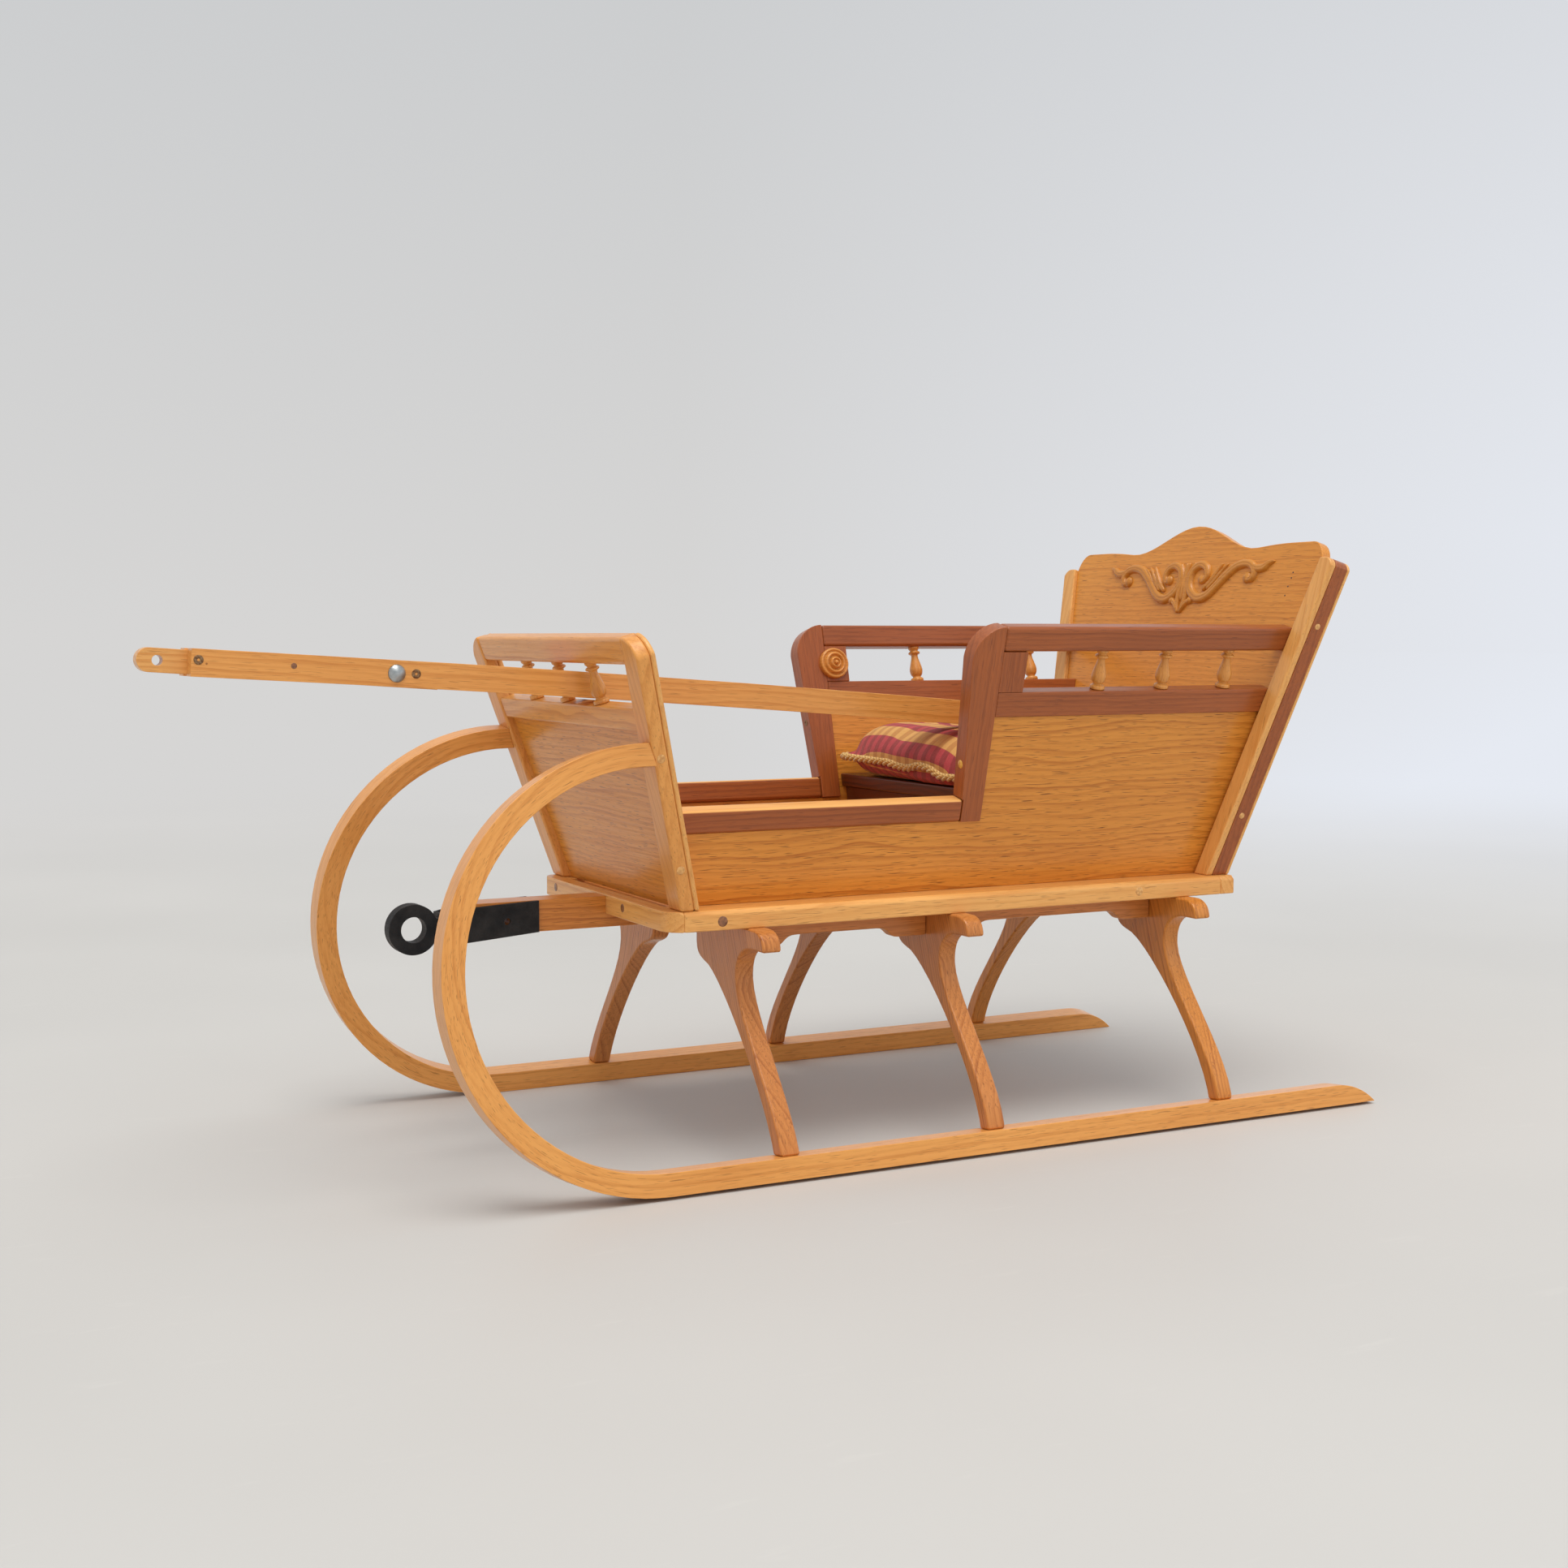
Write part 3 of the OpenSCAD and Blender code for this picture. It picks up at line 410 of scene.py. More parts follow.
def gold_cord():
    """Silky gold yarn, with fine twisted threads along each strand."""
    material, tree, shader = blank_material("gold_cord")
    place = add(tree, "ShaderNodeUVMap", uv_map="strand").outputs[0]
    split = add(tree, "ShaderNodeSeparateXYZ", {0: place})
    along = product(tree, split.outputs[0], 900.0)
    slanted = maths(tree, "ADD", along, product(tree, split.outputs[1], 12.0))
    threads = maths(tree, "ABSOLUTE", maths(tree, "SINE", slanted))
    tint = noise_value(tree, scaled(tree, place, (40.0, 3.0, 1.0)), 1.0, 3.0)
    colour = mixed(tree, threads, srgb(160, 108, 44), srgb(232, 190, 112))
    colour = mixed(tree, between(tree, tint, 0.4, 0.7, 0.0, 0.4), colour, srgb(240, 208, 140))
    rough = between(tree, threads, 0.0, 1.0, 0.62, 0.42)
    sheen = {"Sheen Weight": 0.5, "Sheen Roughness": 0.35}
    finish_shader(tree, shader, colour, rough, sheen, (threads, 0.5, 0.0004))
    return material


# ---------- geometry helpers ----------
def placed(name, data):
    """A new object in the scene."""
    obj = bpy.data.objects.new(name, data)
    bpy.context.scene.collection.objects.link(obj)
    return obj


def mesh_object(name, vertices, faces, smooth=True):
    mesh = bpy.data.meshes.new(name)
    mesh.from_pydata([tuple(v) for v in vertices], [], faces)
    mesh.validate()
    mesh.update()
    mesh.polygons.foreach_set("use_smooth", [smooth] * len(mesh.polygons))
    return placed(name, mesh)


def finish_piece(obj, material, body="root"):
    obj.data.materials.clear()
    obj.data.materials.append(material)
    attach(obj, body)
    return obj


def node_points(node):
    """The corners of a CAD node in the row frame."""
    obj = NODES[node]
    points = np.empty(len(obj.data.vertices) * 3)
    obj.data.vertices.foreach_get("co", points)
    matrix = np.array(obj.matrix_world)
    return points.reshape(-1, 3) @ matrix[:3, :3].T + matrix[:3, 3]


def solids_of(node):
    """The corners of each separate solid of a CAD node."""
    keys = {}
    label = [keys.setdefault(tuple(np.round(p, 5)), len(keys)) for p in node_points(node)]
    parent = list(range(len(keys)))

    def root(i):
        while parent[i] != i:
            parent[i] = parent[parent[i]]
            i = parent[i]
        return i

    for edge in NODES[node].data.edges:
        a, b = (root(label[i]) for i in edge.vertices)
        parent[a] = b
    groups = {}
    for place, number in keys.items():
        groups.setdefault(root(number), []).append(place)
    return sorted((np.array(g) for g in groups.values()), key=lambda g: tuple(g.mean(axis=0)))


def turned_axis(points, long=True):
    """(middle, direction, length) of a turned solid from its corners; long for a spindle, not for a disc."""
    spread = points - points.mean(axis=0)
    vectors = np.linalg.eigh(spread.T @ spread)[1]
    direction = vectors[:, 2] if long else vectors[:, 0]
    along = spread @ direction
    middle = points.mean(axis=0) + direction * (along.max() + along.min()) / 2
    return middle, direction, along.max() - along.min()


def ring_faces(rings, steps):
    """The four-sided faces between rings that have the same number of corners."""
    faces = []
    for i in range(rings - 1):
        for k in range(steps):
            n = (k + 1) % steps
            faces.append((i * steps + k, i * steps + n, (i + 1) * steps + n, (i + 1) * steps + k))
    return faces


def lathe(profile, base, axis, steps=40):
    """Vertices and faces of a turned piece: profile is (radius, height) in metres from base along axis."""
    out = Vector(axis).normalized()
    side = out.orthogonal().normalized()
    other = out.cross(side)
    vertices = []
    for radius, height in profile:
        for k in range(steps):
            turn = 2 * math.pi * k / steps
            ring = side * math.cos(turn) * radius + other * math.sin(turn) * radius
            vertices.append(Vector(base) + out * height + ring)
    faces = ring_faces(len(profile), steps)
    faces.append(tuple(range(steps))[::-1])
    faces.append(tuple((len(profile) - 1) * steps + k for k in range(steps)))
    return vertices, faces


def joined(parts):
    """Several (vertices, faces) as one."""
    vertices, faces = [], []
    for some_vertices, some_faces in parts:
        start = len(vertices)
        vertices += list(some_vertices)
        faces += [tuple(start + i for i in face) for face in some_faces]
    return vertices, faces


def rounded(profile, times=2):
    """A lathe profile with its corners cut, and its two ends kept."""
    for _ in range(times):
        softer = [profile[0]]
        for (r0, h0), (r1, h1) in zip(profile, profile[1:]):
            for share in (0.25, 0.75):
                softer.append(((1 - share) * r0 + share * r1, (1 - share) * h0 + share * h1))
        profile = softer + [profile[-1]]
    return profile


def smooth_line(points, steps=8, closed=False):
    """Points along a soft curve through the given ones, as an array."""
    points = np.array(points, float)
    count = len(points)
    out = []
    spans = count if closed else count - 1
    for i in range(spans):
        if closed:
            p = [points[(i + k) % count] for k in (-1, 0, 1, 2)]
        else:
            p = [points[min(max(i + k, 0), count - 1)] for k in (-1, 0, 1, 2)]
        for k in range(steps):
            t = k / steps
            out.append(0.5 * ((2 * p[1]) + (p[2] - p[0]) * t + (2 * p[0] - 5 * p[1] + 4 * p[2] - p[3]) * t * t
                              + (3 * p[1] - p[0] - 3 * p[2] + p[3]) * t ** 3))
    if not closed:
        out.append(points[-1])
    return np.array(out)


def surface_hit(node, start, direction):
    """Where a ray first meets a CAD node, and the surface's normal there."""
    obj = NODES[node]
    back = obj.matrix_world.inverted()
    found, place, normal, _ = obj.ray_cast(back @ Vector(start), back.to_3x3() @ Vector(direction))
    if not found:
        raise ValueError("no surface of " + node + " on that line")
    return obj.matrix_world @ place, (obj.matrix_world.to_3x3() @ normal).normalized()


# ---------- CAD nodes: rounded edges and finishes ----------
SHARP_CORNER = math.radians(32)
FLAT_ENOUGH = math.radians(0.6)


def soften(node, radius, steps):
    """Rounds a CAD node's corners with modifiers only."""
    obj = NODES[node]
    mesh = obj.data
    if mesh.attributes.get("custom_normal"):
        mesh.attributes.remove(mesh.attributes["custom_normal"])
    mesh.polygons.foreach_set("use_smooth", [True] * len(mesh.polygons))
    weld = obj.modifiers.new("weld", "WELD")
    weld.merge_threshold = 0.00002
    flat = obj.modifiers.new("flat faces", "DECIMATE")
    flat.decimate_type = "DISSOLVE"
    flat.angle_limit = FLAT_ENOUGH
    bevel = obj.modifiers.new("rounded edges", "BEVEL")
    bevel.width = radius
    bevel.segments = steps
    bevel.limit_method = "ANGLE"
    bevel.angle_limit = SHARP_CORNER
    bevel.use_clamp_overlap = True
    bevel.harden_normals = True


def dress(node, material, radius, steps=3):
    """Gives a CAD node its material and its rounded corners."""
    obj = NODES[node]
    obj.data.materials.clear()
    obj.data.materials.append(material)
    soften(node, radius, steps)


def clad(node, name, colours, seed, radius, steps=3, **figure):
    """Gives a CAD node its wood and its rounded corners."""
    dress(node, wood(name, colours, seed=seed, **figure), radius, steps)


SIDES = (("left", 1), ("right", -1))
side_lean = math.radians(13.8)
dash_lean = math.radians(16.1)
back_lean = math.radians(15.5)
ACROSS = (0, 1, 0)
SHAFT_GRAIN = (1, 0, 0.07)
BACK_OUT = (math.cos(back_lean), 0.0, math.sin(back_lean))
BACK_UP = (-math.sin(back_lean), 0.0, math.cos(back_lean))
DASH_OUT = (math.cos(dash_lean), 0.0, -math.sin(dash_lean))
DASH_UP = (math.sin(dash_lean), 0.0, math.cos(dash_lean))
LOOP_X = 0.262
LOOP_R = 0.262
RUNNER_HALF = 0.0137


def dress_side(number, side, sign):
    """The finishes of one side's pieces."""
    out = (0.0, sign * math.cos(side_lean), -math.sin(side_lean))
    up = (0.0, sign * math.sin(side_lean), math.cos(side_lean))
    outward = (0, sign, 0)
    sill_top = (node_points("sill_rail_" + side) @ np.array(up)).max()
    sapwood_depth = 0.0022

    def own(node, name, colours, seed, radius, steps=3, **figure):
        clad(node + "_" + side, name + "_" + side, colours, seed + number, radius, steps, **figure)

    own("runner", "runner_beech", BEECH, 3, 0.0022, face=(0, sign, 0.1), pith=0.16, ring=0.005,
        waviness=0.012, rings=0.5, pores=0.7, bend=(LOOP_X, LOOP_R, LOOP_R - RUNNER_HALF), marks=0.03)
    for k, place in enumerate(("front", "middle", "rear")):
        own("leg_" + place, "leg_" + place, OAK_WARM if place == "rear" else BEECH_RED, 11 + 5 * k, 0.0065, 4,
            grain=(0.0, sign * 0.35, -1.0), face=(1, 0, 0), pith=0.05 + 0.02 * k, ring=0.0045, pores=0.8)
    own("aprons", "apron_beech", BEECH_RED, 31, 0.003, face=outward, pith=0.07, rings=0.6, pores=0.7)
    own("deck_rail", "rail_beech", BEECH_PALE, 37, 0.0018, pith=0.05, ring=0.009, waviness=0.05, rings=0.45,
        pores=0.6)
    own("side_panel", "side_oak", OAK, 41, 0.001, 2, face=out, pith=0.035, ring=0.010, waviness=0.09,
        pores=1.0)
    own("sill_rail", "sill_walnut", WALNUT, 47, 0.0045, 4, face=up, pith=0.05, rings=0.45,
        sapwood=(up, sill_top - sapwood_depth))
    own("arm_post", "post_walnut", WALNUT, 53, 0.0045, 4, grain=up, face=out, pith=0.04, rings=0.45)
    own("arm_lower_rail", "lower_walnut", WALNUT, 59, 0.002, face=out, pith=0.06, rings=0.45)
    own("arm_top_rail", "top_walnut", WALNUT, 61, 0.005, 4, face=up, pith=0.05, rings=0.45)
    own("arm_filler", "filler_walnut", WALNUT, 67, 0.0008, 2, grain=up, face=out, pith=0.03, rings=0.45)
    own("dash_post", "dash_beech", BEECH, 71, 0.0045, 4, grain=DASH_UP, face=DASH_OUT, pith=0.05, ring=0.009,
        rings=0.55)
    own("dash_strip", "dash_strip_beech", BEECH_PALE, 73, 0.003, grain=DASH_UP, face=DASH_OUT, pith=0.05,
        rings=0.45)
    own("back_batten", "batten_beech", BEECH_PALE, 79, 0.004, 4, grain=BACK_UP, face=BACK_OUT, pith=0.05,
        rings=0.5)
    own("back_post", "back_walnut", WALNUT, 83, 0.0012, grain=BACK_UP, face=outward, pith=0.05, waviness=0.06,
        rings=0.45)
    own("back_strip", "pale_strip", BEECH_PALE, 89, 0.002, grain=BACK_UP, face=BACK_OUT, pith=0.05, rings=0.4)
    own("shaft_beam", "shaft_beech", BEECH, 97, 0.0045, 4, grain=SHAFT_GRAIN, face=outward, pith=0.05,
        ring=0.008, waviness=0.05, rings=0.6, marks=0.035)


for number, (side, sign) in enumerate(SIDES):
    dress_side(number, side, sign)
clad("deck_cap_front", "front_cap_beech", BEECH_PALE, 101, 0.0018, grain=ACROSS, pith=0.06)
clad("deck_cap_rear", "rear_cap_beech", BEECH_PALE, 103, 0.0018, grain=ACROSS, pith=0.06)
clad("floor_boards", "floor_beech", BEECH_RED, 107, 0.001, 2, pith=0.07, rings=0.6)
clad("draw_beam", "draw_beam_oak", OAK_WARM, 109, 0.0025, face=ACROSS, pith=0.05, rings=0.8, pores=0.8)
clad("dash_top_rail", "dash_top_beech", BEECH, 113, 0.0055, 4, grain=ACROSS, face=DASH_OUT, pith=0.06,
     ring=0.012, waviness=0.05)
clad("dash_mid_rail", "dash_mid_beech", BEECH, 127, 0.003, grain=ACROSS, face=DASH_OUT, pith=0.06,
     ring=0.012, waviness=0.05)
clad("dash_panel", "dash_oak", OAK, 131, 0.001, 2, grain=ACROSS, face=DASH_OUT, pith=0.03, ring=0.008,
     waviness=0.06, rings=0.6, pores=1.0)
clad("back_panel", "back_oak", OAK, 137, 0.0015, grain=ACROSS, face=BACK_OUT, pith=0.08, rings=0.5, pores=0.8)
clad("seat_board", "seat_walnut", WALNUT_DARK, 139, 0.002, grain=ACROSS, pith=0.06)
clad("seat_front", "seat_front_walnut", WALNUT_DARK, 149, 0.002, grain=ACROSS, face=(1, 0, 0), pith=0.06)
clad("shaft_tongue", "tongue_beech", BEECH_PALE, 151, 0.004, grain=SHAFT_GRAIN, face=ACROSS, pith=0.05)
dress("draw_eye", forged_iron(), 0.003)
dress("shaft_bolt", zinc_plate(), 0.001)

# ---------- turned spindles and rosettes ----------
SPINDLE_R = 0.010


def spindle_profile(length, radius):
    """Foot disc, low belly, slim neck, ring and head of a short spindle."""
    shape = (
        (0.78, 0.0), (0.98, 0.01), (1.0, 0.05), (0.94, 0.10), (0.62, 0.12), (0.60, 0.15), (0.86, 0.20),
        (1.0, 0.31), (0.96, 0.40), (0.74, 0.55), (0.55, 0.68), (0.50, 0.75), (0.54, 0.79), (0.84, 0.81),
        (0.90, 0.84), (0.84, 0.87), (0.58, 0.89), (0.60, 0.92), (0.80, 0.95), (0.82, 1.0),
    )
    return rounded([(r * radius, h * length) for r, h in shape])


def turn_spindles(node, name, seed):
    parts = []
    for points in solids_of(node):
        middle, direction, length = turned_axis(points)
        if direction[2] < 0:
            direction = -direction
        base = Vector(middle) - Vector(direction) * length / 2
        parts.append(lathe(spindle_profile(length, SPINDLE_R), base, direction))
    obj = mesh_object(name, *joined(parts))
    material = wood(name + "_wood", TURNED, grain=tuple(direction), face=(1, 0, 0), pith=0.03, ring=0.004,
                    rings=0.6, seed=seed, gloss=0.8)
    finish_piece(obj, material)
    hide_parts(node)


def turn_rosette(node, name, seed):
    points = solids_of(node)[0]
    middle, direction, thick = turned_axis(points, long=False)
    outward = -1 if middle[1] > 0 else 1
    if direction[1] * outward < 0:
        direction = -direction
    from_middle = points - middle
    spread = from_middle - np.outer(from_middle @ direction, direction)
    radius = np.linalg.norm(spread, axis=1).max()
    shape = (
        (1.0, 0.0), (1.0, 0.30), (0.96, 0.46), (0.86, 0.50), (0.80, 0.36), (0.74, 0.34), (0.70, 0.58),
        (0.62, 0.72), (0.54, 0.66), (0.48, 0.44), (0.42, 0.42), (0.38, 0.66), (0.30, 0.84), (0.24, 0.78),
        (0.20, 0.62), (0.15, 0.66), (0.12, 0.92), (0.05, 1.0), (0.01, 1.0),
    )
    profile = rounded([(r * radius, h * thick) for r, h in shape])
    base = Vector(middle) - Vector(direction) * thick / 2
    obj = mesh_object(name, *lathe(profile, base, direction, 64))
    material = wood(name + "_wood", TURNED, face=tuple(direction), pith=0.03, ring=0.005, rings=0.6,
                    seed=seed, gloss=0.8)
    finish_piece(obj, material)
    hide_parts(node)


turn_spindles("arm_spindles_left", "turned_arm_spindles_left", 163)
turn_spindles("arm_spindles_right", "turned_arm_spindles_right", 167)
turn_spindles("dash_spindles", "turned_dash_spindles", 173)
turn_rosette("arm_rosette_left", "turned_rosette_left", 179)
turn_rosette("arm_rosette_right", "turned_rosette_right", 181)

# ---------- carved scrolls on the back ----------
BACK_ORIGIN = Vector((-0.597, 0.0, 0.317))
carve_points = node_points("back_ornament")
carve_depths = (carve_points - np.array(BACK_ORIGIN)) @ np.array(BACK_OUT)
CARVE_BASE = carve_depths.min()
CARVE_HEIGHT = (carve_depths.max() - carve_depths.min()) * 0.95

# each stroke: points as (across, up the slope), then its width at the start, middle and end, all in mm
STROKES = (
    (((37, 431), (44, 429), (49, 438), (43, 449), (29, 453), (15, 446), (10, 433), (14, 418), (26, 407),
      (41, 402), (59, 407), (76, 421), (93, 436), (111, 448), (129, 452), (144, 449), (153, 439), (149, 429),
      (140, 429)), 9, 17, 10),
    (((144, 448), (158, 444), (171, 445), (180, 451), (191, 454)), 9, 14, 2),
    (((44, 414), (60, 427), (70, 440), (79, 454)), 7, 10, 2),
    (((54, 415), (69, 428), (80, 441), (91, 453)), 7, 9, 2),
    (((62, 414), (78, 429), (90, 442), (101, 451)), 5, 7, 2),
    (((2, 380), (7, 393), (8, 410), (5, 428), (10, 444), (17, 457)), 5, 11, 4),
    (((4, 384), (11, 394), (21, 399)), 7, 11, 6),
    (((0, 398), (0, 428), (1, 444), (3, 457)), 7, 10, 4),
)
BLOBS = ((38, 431, 8.0), (139, 431, 8.5), (21, 399, 6.0))


def back_place(across, up, out):
    """A place on the sloping back, from mm across it, mm up its slope and metres out of it."""
    return BACK_ORIGIN + Vector((0, across * MM, 0)) + Vector(BACK_UP) * up * MM + Vector(BACK_OUT) * out


def end_share(steps_away):
    """How much of a stroke is there so many steps from its end: a quarter circle over three steps."""
    return math.sqrt(max(0.0, 1 - max(0.0, 1 - steps_away / 3.0) ** 2))


def carve_stroke(points, first, most, last, mirror):
    """A raised scroll with round sides and a fine vein down its middle."""
    line = smooth_line([(p[0] * mirror, p[1]) for p in points], 9)
    steps = np.vstack([np.gradient(line[:, 0]), np.gradient(line[:, 1])]).T
    lengths = np.maximum(np.linalg.norm(steps, axis=1, keepdims=True), 1e-6)
    side = np.stack([-steps[:, 1], steps[:, 0]], axis=1) / lengths
    count = len(line)
    across = np.linspace(-1, 1, 15)
    belly, thin_end, vein_depth, vein_half, edge_sunk = 0.9, 0.05, 0.13, 0.14, 0.0004
    vertices, faces = [], []
    for i in range(count):
        t = i / (count - 1)
        ends = first + (last - first) * t
        width = ends + (most - (first + last) / 2) * 4 * t * (1 - t) * belly
        there = min(end_share(t * (count - 1)), end_share((1 - t) * (count - 1)))
        half = width / 2 * max(thin_end, there)
        full = CARVE_HEIGHT * min(1.0, 0.45 + width / 22) * max(2 * thin_end, there)
        for s in across:
            dome = max(0.0, 1 - abs(s) ** 2.4) ** 0.6
            vein = vein_depth * math.exp(-((s / vein_half) ** 2))
            place = line[i] + side[i] * half * s
            sunk = edge_sunk * (abs(s) > 0.99)
            vertices.append(back_place(place[0], place[1], CARVE_BASE + (full * (dome - vein) - sunk)))
    wide = len(across)
    for i in range(count - 1):
        for k in range(wide - 1):
            a = i * wide + k
            quad = (a, a + 1, a + wide + 1, a + wide)
            faces.append(quad if mirror > 0 else quad[::-1])
    return vertices, faces


def carve_blob(across, up, radius, mirror):
    """A domed knob where a scroll curls up."""
    vertices = []
    rings, steps = 7, 20
    for i in range(rings):
        tilt = i / (rings - 1) * math.pi / 2
        reach = radius * math.cos(tilt)
        height = CARVE_BASE + CARVE_HEIGHT * math.sin(tilt)
        for k in range(steps):
            turn = 2 * math.pi * k / steps
            place = (across * mirror + reach * math.cos(turn), up + reach * math.sin(turn))
            vertices.append(back_place(place[0], place[1], height))
    return vertices, ring_faces(rings, steps)


carving = []
for mirror in (1, -1):
    carving += [carve_stroke(points, a, b, c, mirror) for points, a, b, c in STROKES]
    carving += [carve_blob(a, b, r, mirror) for a, b, r in BLOBS]
scrolls = mesh_object("carved_scrolls", *joined(carving))
CARVING_WOOD = wood("carving_wood", CARVED, grain=ACROSS, face=BACK_OUT, pith=0.05, ring=0.006, rings=0.3,
                    pores=0.3, seed=191, gloss=0.6)
finish_piece(scrolls, CARVING_WOOD)
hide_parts("back_ornament")


# ---------- cushion ----------
def cloth_uv(mesh, points, normals_from):
    """Lays the cloth on the cushion in metres: stripes across the seat, folded down over the edges."""
    low, high = points.min(axis=0), points.max(axis=0)
    middle = (low + high) / 2
    layer = mesh.uv_layers.new(name="cloth")
    steep = 0.75
    for face in mesh.polygons:
        normal = normals_from[face.index]
        for corner in face.loop_indices:
            p = points[mesh.loops[corner].vertex_index]
            drop = high[2] - p[2]
            u, v = p[0], p[1]
            if abs(normal[0]) > steep and abs(normal[0]) >= abs(normal[1]):
                u = p[0] + math.copysign(drop, normal[0])
            elif abs(normal[1]) > steep:
                v = p[1] + math.copysign(drop, normal[1])
            layer.data[corner].uv = (u - middle[0], v - middle[1])


ROW_SHIFT = -0.297  # the drawing's X to the row frame's
BEAM_X, BEAM_Z, BEAM_SLOPE, BEAM_BEND = 0.5462, 0.5699, 0.0717, 36.0


def beam_limit(x):
    """The height of the shaft beams' underside over the seat: a shallow downward bow."""
    ahead = x - (BEAM_X + ROW_SHIFT)
    return BEAM_Z + BEAM_SLOPE * ahead - ahead ** 2 / (2 * BEAM_BEND)


SEAT_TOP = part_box("seat_board")[1][2]
SEAT_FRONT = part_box("seat_board")[1][0]


def pillow(points, low, high):
    """Box corners moved to a pillow: thin at the seam, full in the middle, low at the near front corner."""
    corner_power, dome_power, seam_share = 5, 6, 0.08
    seam_lift, droop, corner_tuck = 0.027, 0.016, 0.035
    over_seam, front_extra, under_seam = 0.042, 0.006, 0.026
    middle, half = (low + high) / 2, (high - low) / 2
    u = np.clip((points[:, 0] - middle[0]) / half[0], -1, 1)
    v = np.clip((points[:, 1] - middle[1]) / half[1], -1, 1)
    seam = (np.abs(u) ** corner_power + np.abs(v) ** corner_power) ** (1 / corner_power)
    dome = np.sqrt(np.clip(1 - np.minimum(seam, 1) ** dome_power, 0, 1))
    full = dome * (1 - seam_share) + seam_share
    level = (points[:, 2] - middle[2]) / half[2]
    front = np.clip((u - 0.2) / 0.8, 0, 1)
    near = np.clip((v + 0.7) / 1.4, 0, 1)
    seam_height = SEAT_TOP + seam_lift - droop * front * near ** 1.5
    reach = np.where(level > 0, over_seam + front_extra * front, under_seam)
    out = points.copy()
    out[:, 2] = seam_height + level * reach * full
    tuck = 1 - corner_tuck * (np.abs(u * v) ** 2)
    out[:, 0] = middle[0] + (points[:, 0] - middle[0]) * tuck
    out[:, 1] = middle[1] + (points[:, 1] - middle[1]) * tuck
    return out


def settled(points):
    """Keeps the cloth on the seat, off the shaft's beams, and creased a little by its weight."""
    crease, broad, fine = 0.0018, 13, 31
    seat_gap, beam_gap, beams_reach = 0.0012, 0.0025, 0.11
    out = points.copy()
    for i, (x, y, z) in enumerate(points):
        dip = noise.noise(Vector((x * broad, y * broad, 3.7)))
        dip += 0.5 * noise.noise(Vector((x * fine, y * fine, 9.1)))
        z += crease * dip
        if x < SEAT_FRONT + 0.002:
            z = max(z, SEAT_TOP + seat_gap)
        if abs(y) < beams_reach:
            z = min(z, beam_limit(x) - beam_gap)
        out[i, 2] = z
    return out


def coordinates(mesh):
    values = np.empty(len(mesh.vertices) * 3)
    mesh.vertices.foreach_get("co", values)
    return values.reshape(-1, 3)


def stuffed_cushion(node, voxel=0.006, pressure=4.0, travel=0.008, last_frame=20):
    """The cushion puffed up by a short cloth simulation, from the CAD node's own shape."""
    low, high = (np.array(c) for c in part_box(node))
    mesh = NODES[node].data.copy()
    mesh.transform(NODES[node].matrix_world)
    obj = placed("striped_cushion", mesh)
    scene = bpy.context.scene
    remesh = obj.modifiers.new("remesh", "REMESH")
    remesh.mode = "VOXEL"
    remesh.voxel_size = voxel
    graph = bpy.context.evaluated_depsgraph_get()
    shaped = bpy.data.meshes.new_from_object(obj.evaluated_get(graph))
    obj.modifiers.clear()
    obj.data = shaped
    flat = coordinates(shaped)
    cloth_uv(shaped, flat, [tuple(face.normal) for face in shaped.polygons])
    start = pillow(flat, low, high)
    shaped.vertices.foreach_set("co", start.ravel())
    shaped.update()
    cloth = obj.modifiers.new("cloth", "CLOTH")
    for name, value in (
        ("quality", 5), ("mass", 0.2), ("use_pressure", True), ("uniform_pressure_force", pressure),
        ("tension_stiffness", 12), ("compression_stiffness", 12), ("shear_stiffness", 6),
        ("bending_stiffness", 0.4),
    ):
        setattr(cloth.settings, name, value)
    cloth.settings.effector_weights.gravity = 0
    cloth.point_cache.frame_start = 1
    cloth.point_cache.frame_end = last_frame
    for step in range(1, last_frame + 1):
        scene.frame_set(step)
    graph = bpy.context.evaluated_depsgraph_get()
    end = coordinates(obj.evaluated_get(graph).data)
    obj.modifiers.clear()
    scene.frame_set(1)
    move = end - start
    size = np.linalg.norm(move, axis=1, keepdims=True)
    start = start + move * np.minimum(1.0, travel / np.maximum(size, 1e-9))
    start = settled(start)
    obj.data.vertices.foreach_set("co", start.ravel())
    obj.data.polygons.foreach_set("use_smooth", [True] * len(obj.data.polygons))
    obj.data.update()
    softer = obj.modifiers.new("softer", "SUBSURF")
    softer.levels = softer.render_levels = 1
    return obj, start


cushion, cushion_points = stuffed_cushion("seat_cushion")
finish_piece(cushion, striped_cloth())
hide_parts("seat_cushion")


def cushion_rim(points, proud=0.001, count=160):
    """A closed line round the cushion's widest part, from the puffed cloth itself."""
    low, high = points.min(axis=0), points.max(axis=0)
    middle = (low + high) / 2
    flat = points[:, :2] - middle[:2]
    lengths = np.linalg.norm(flat, axis=1)
    rim = []
    for k in range(count):
        turn = 2 * math.pi * k / count
        way = np.array((math.cos(turn), math.sin(turn)))
        facing = (flat @ way) / np.maximum(lengths, 1e-6)
        near = np.where(facing > math.cos(2.4 * math.pi / count))[0]
        if len(near) == 0:
            continue
        far = near[np.argsort(lengths[near])[-6:]]
        reach = lengths[far].mean() + proud
        rim.append((middle[0] + way[0] * reach, middle[1] + way[1] * reach, points[far, 2].mean()))
    rim = np.array(rim)
    for _ in range(3):
        rim = (np.roll(rim, 1, axis=0) + rim * 2 + np.roll(rim, -1, axis=0)) / 4
    return rim


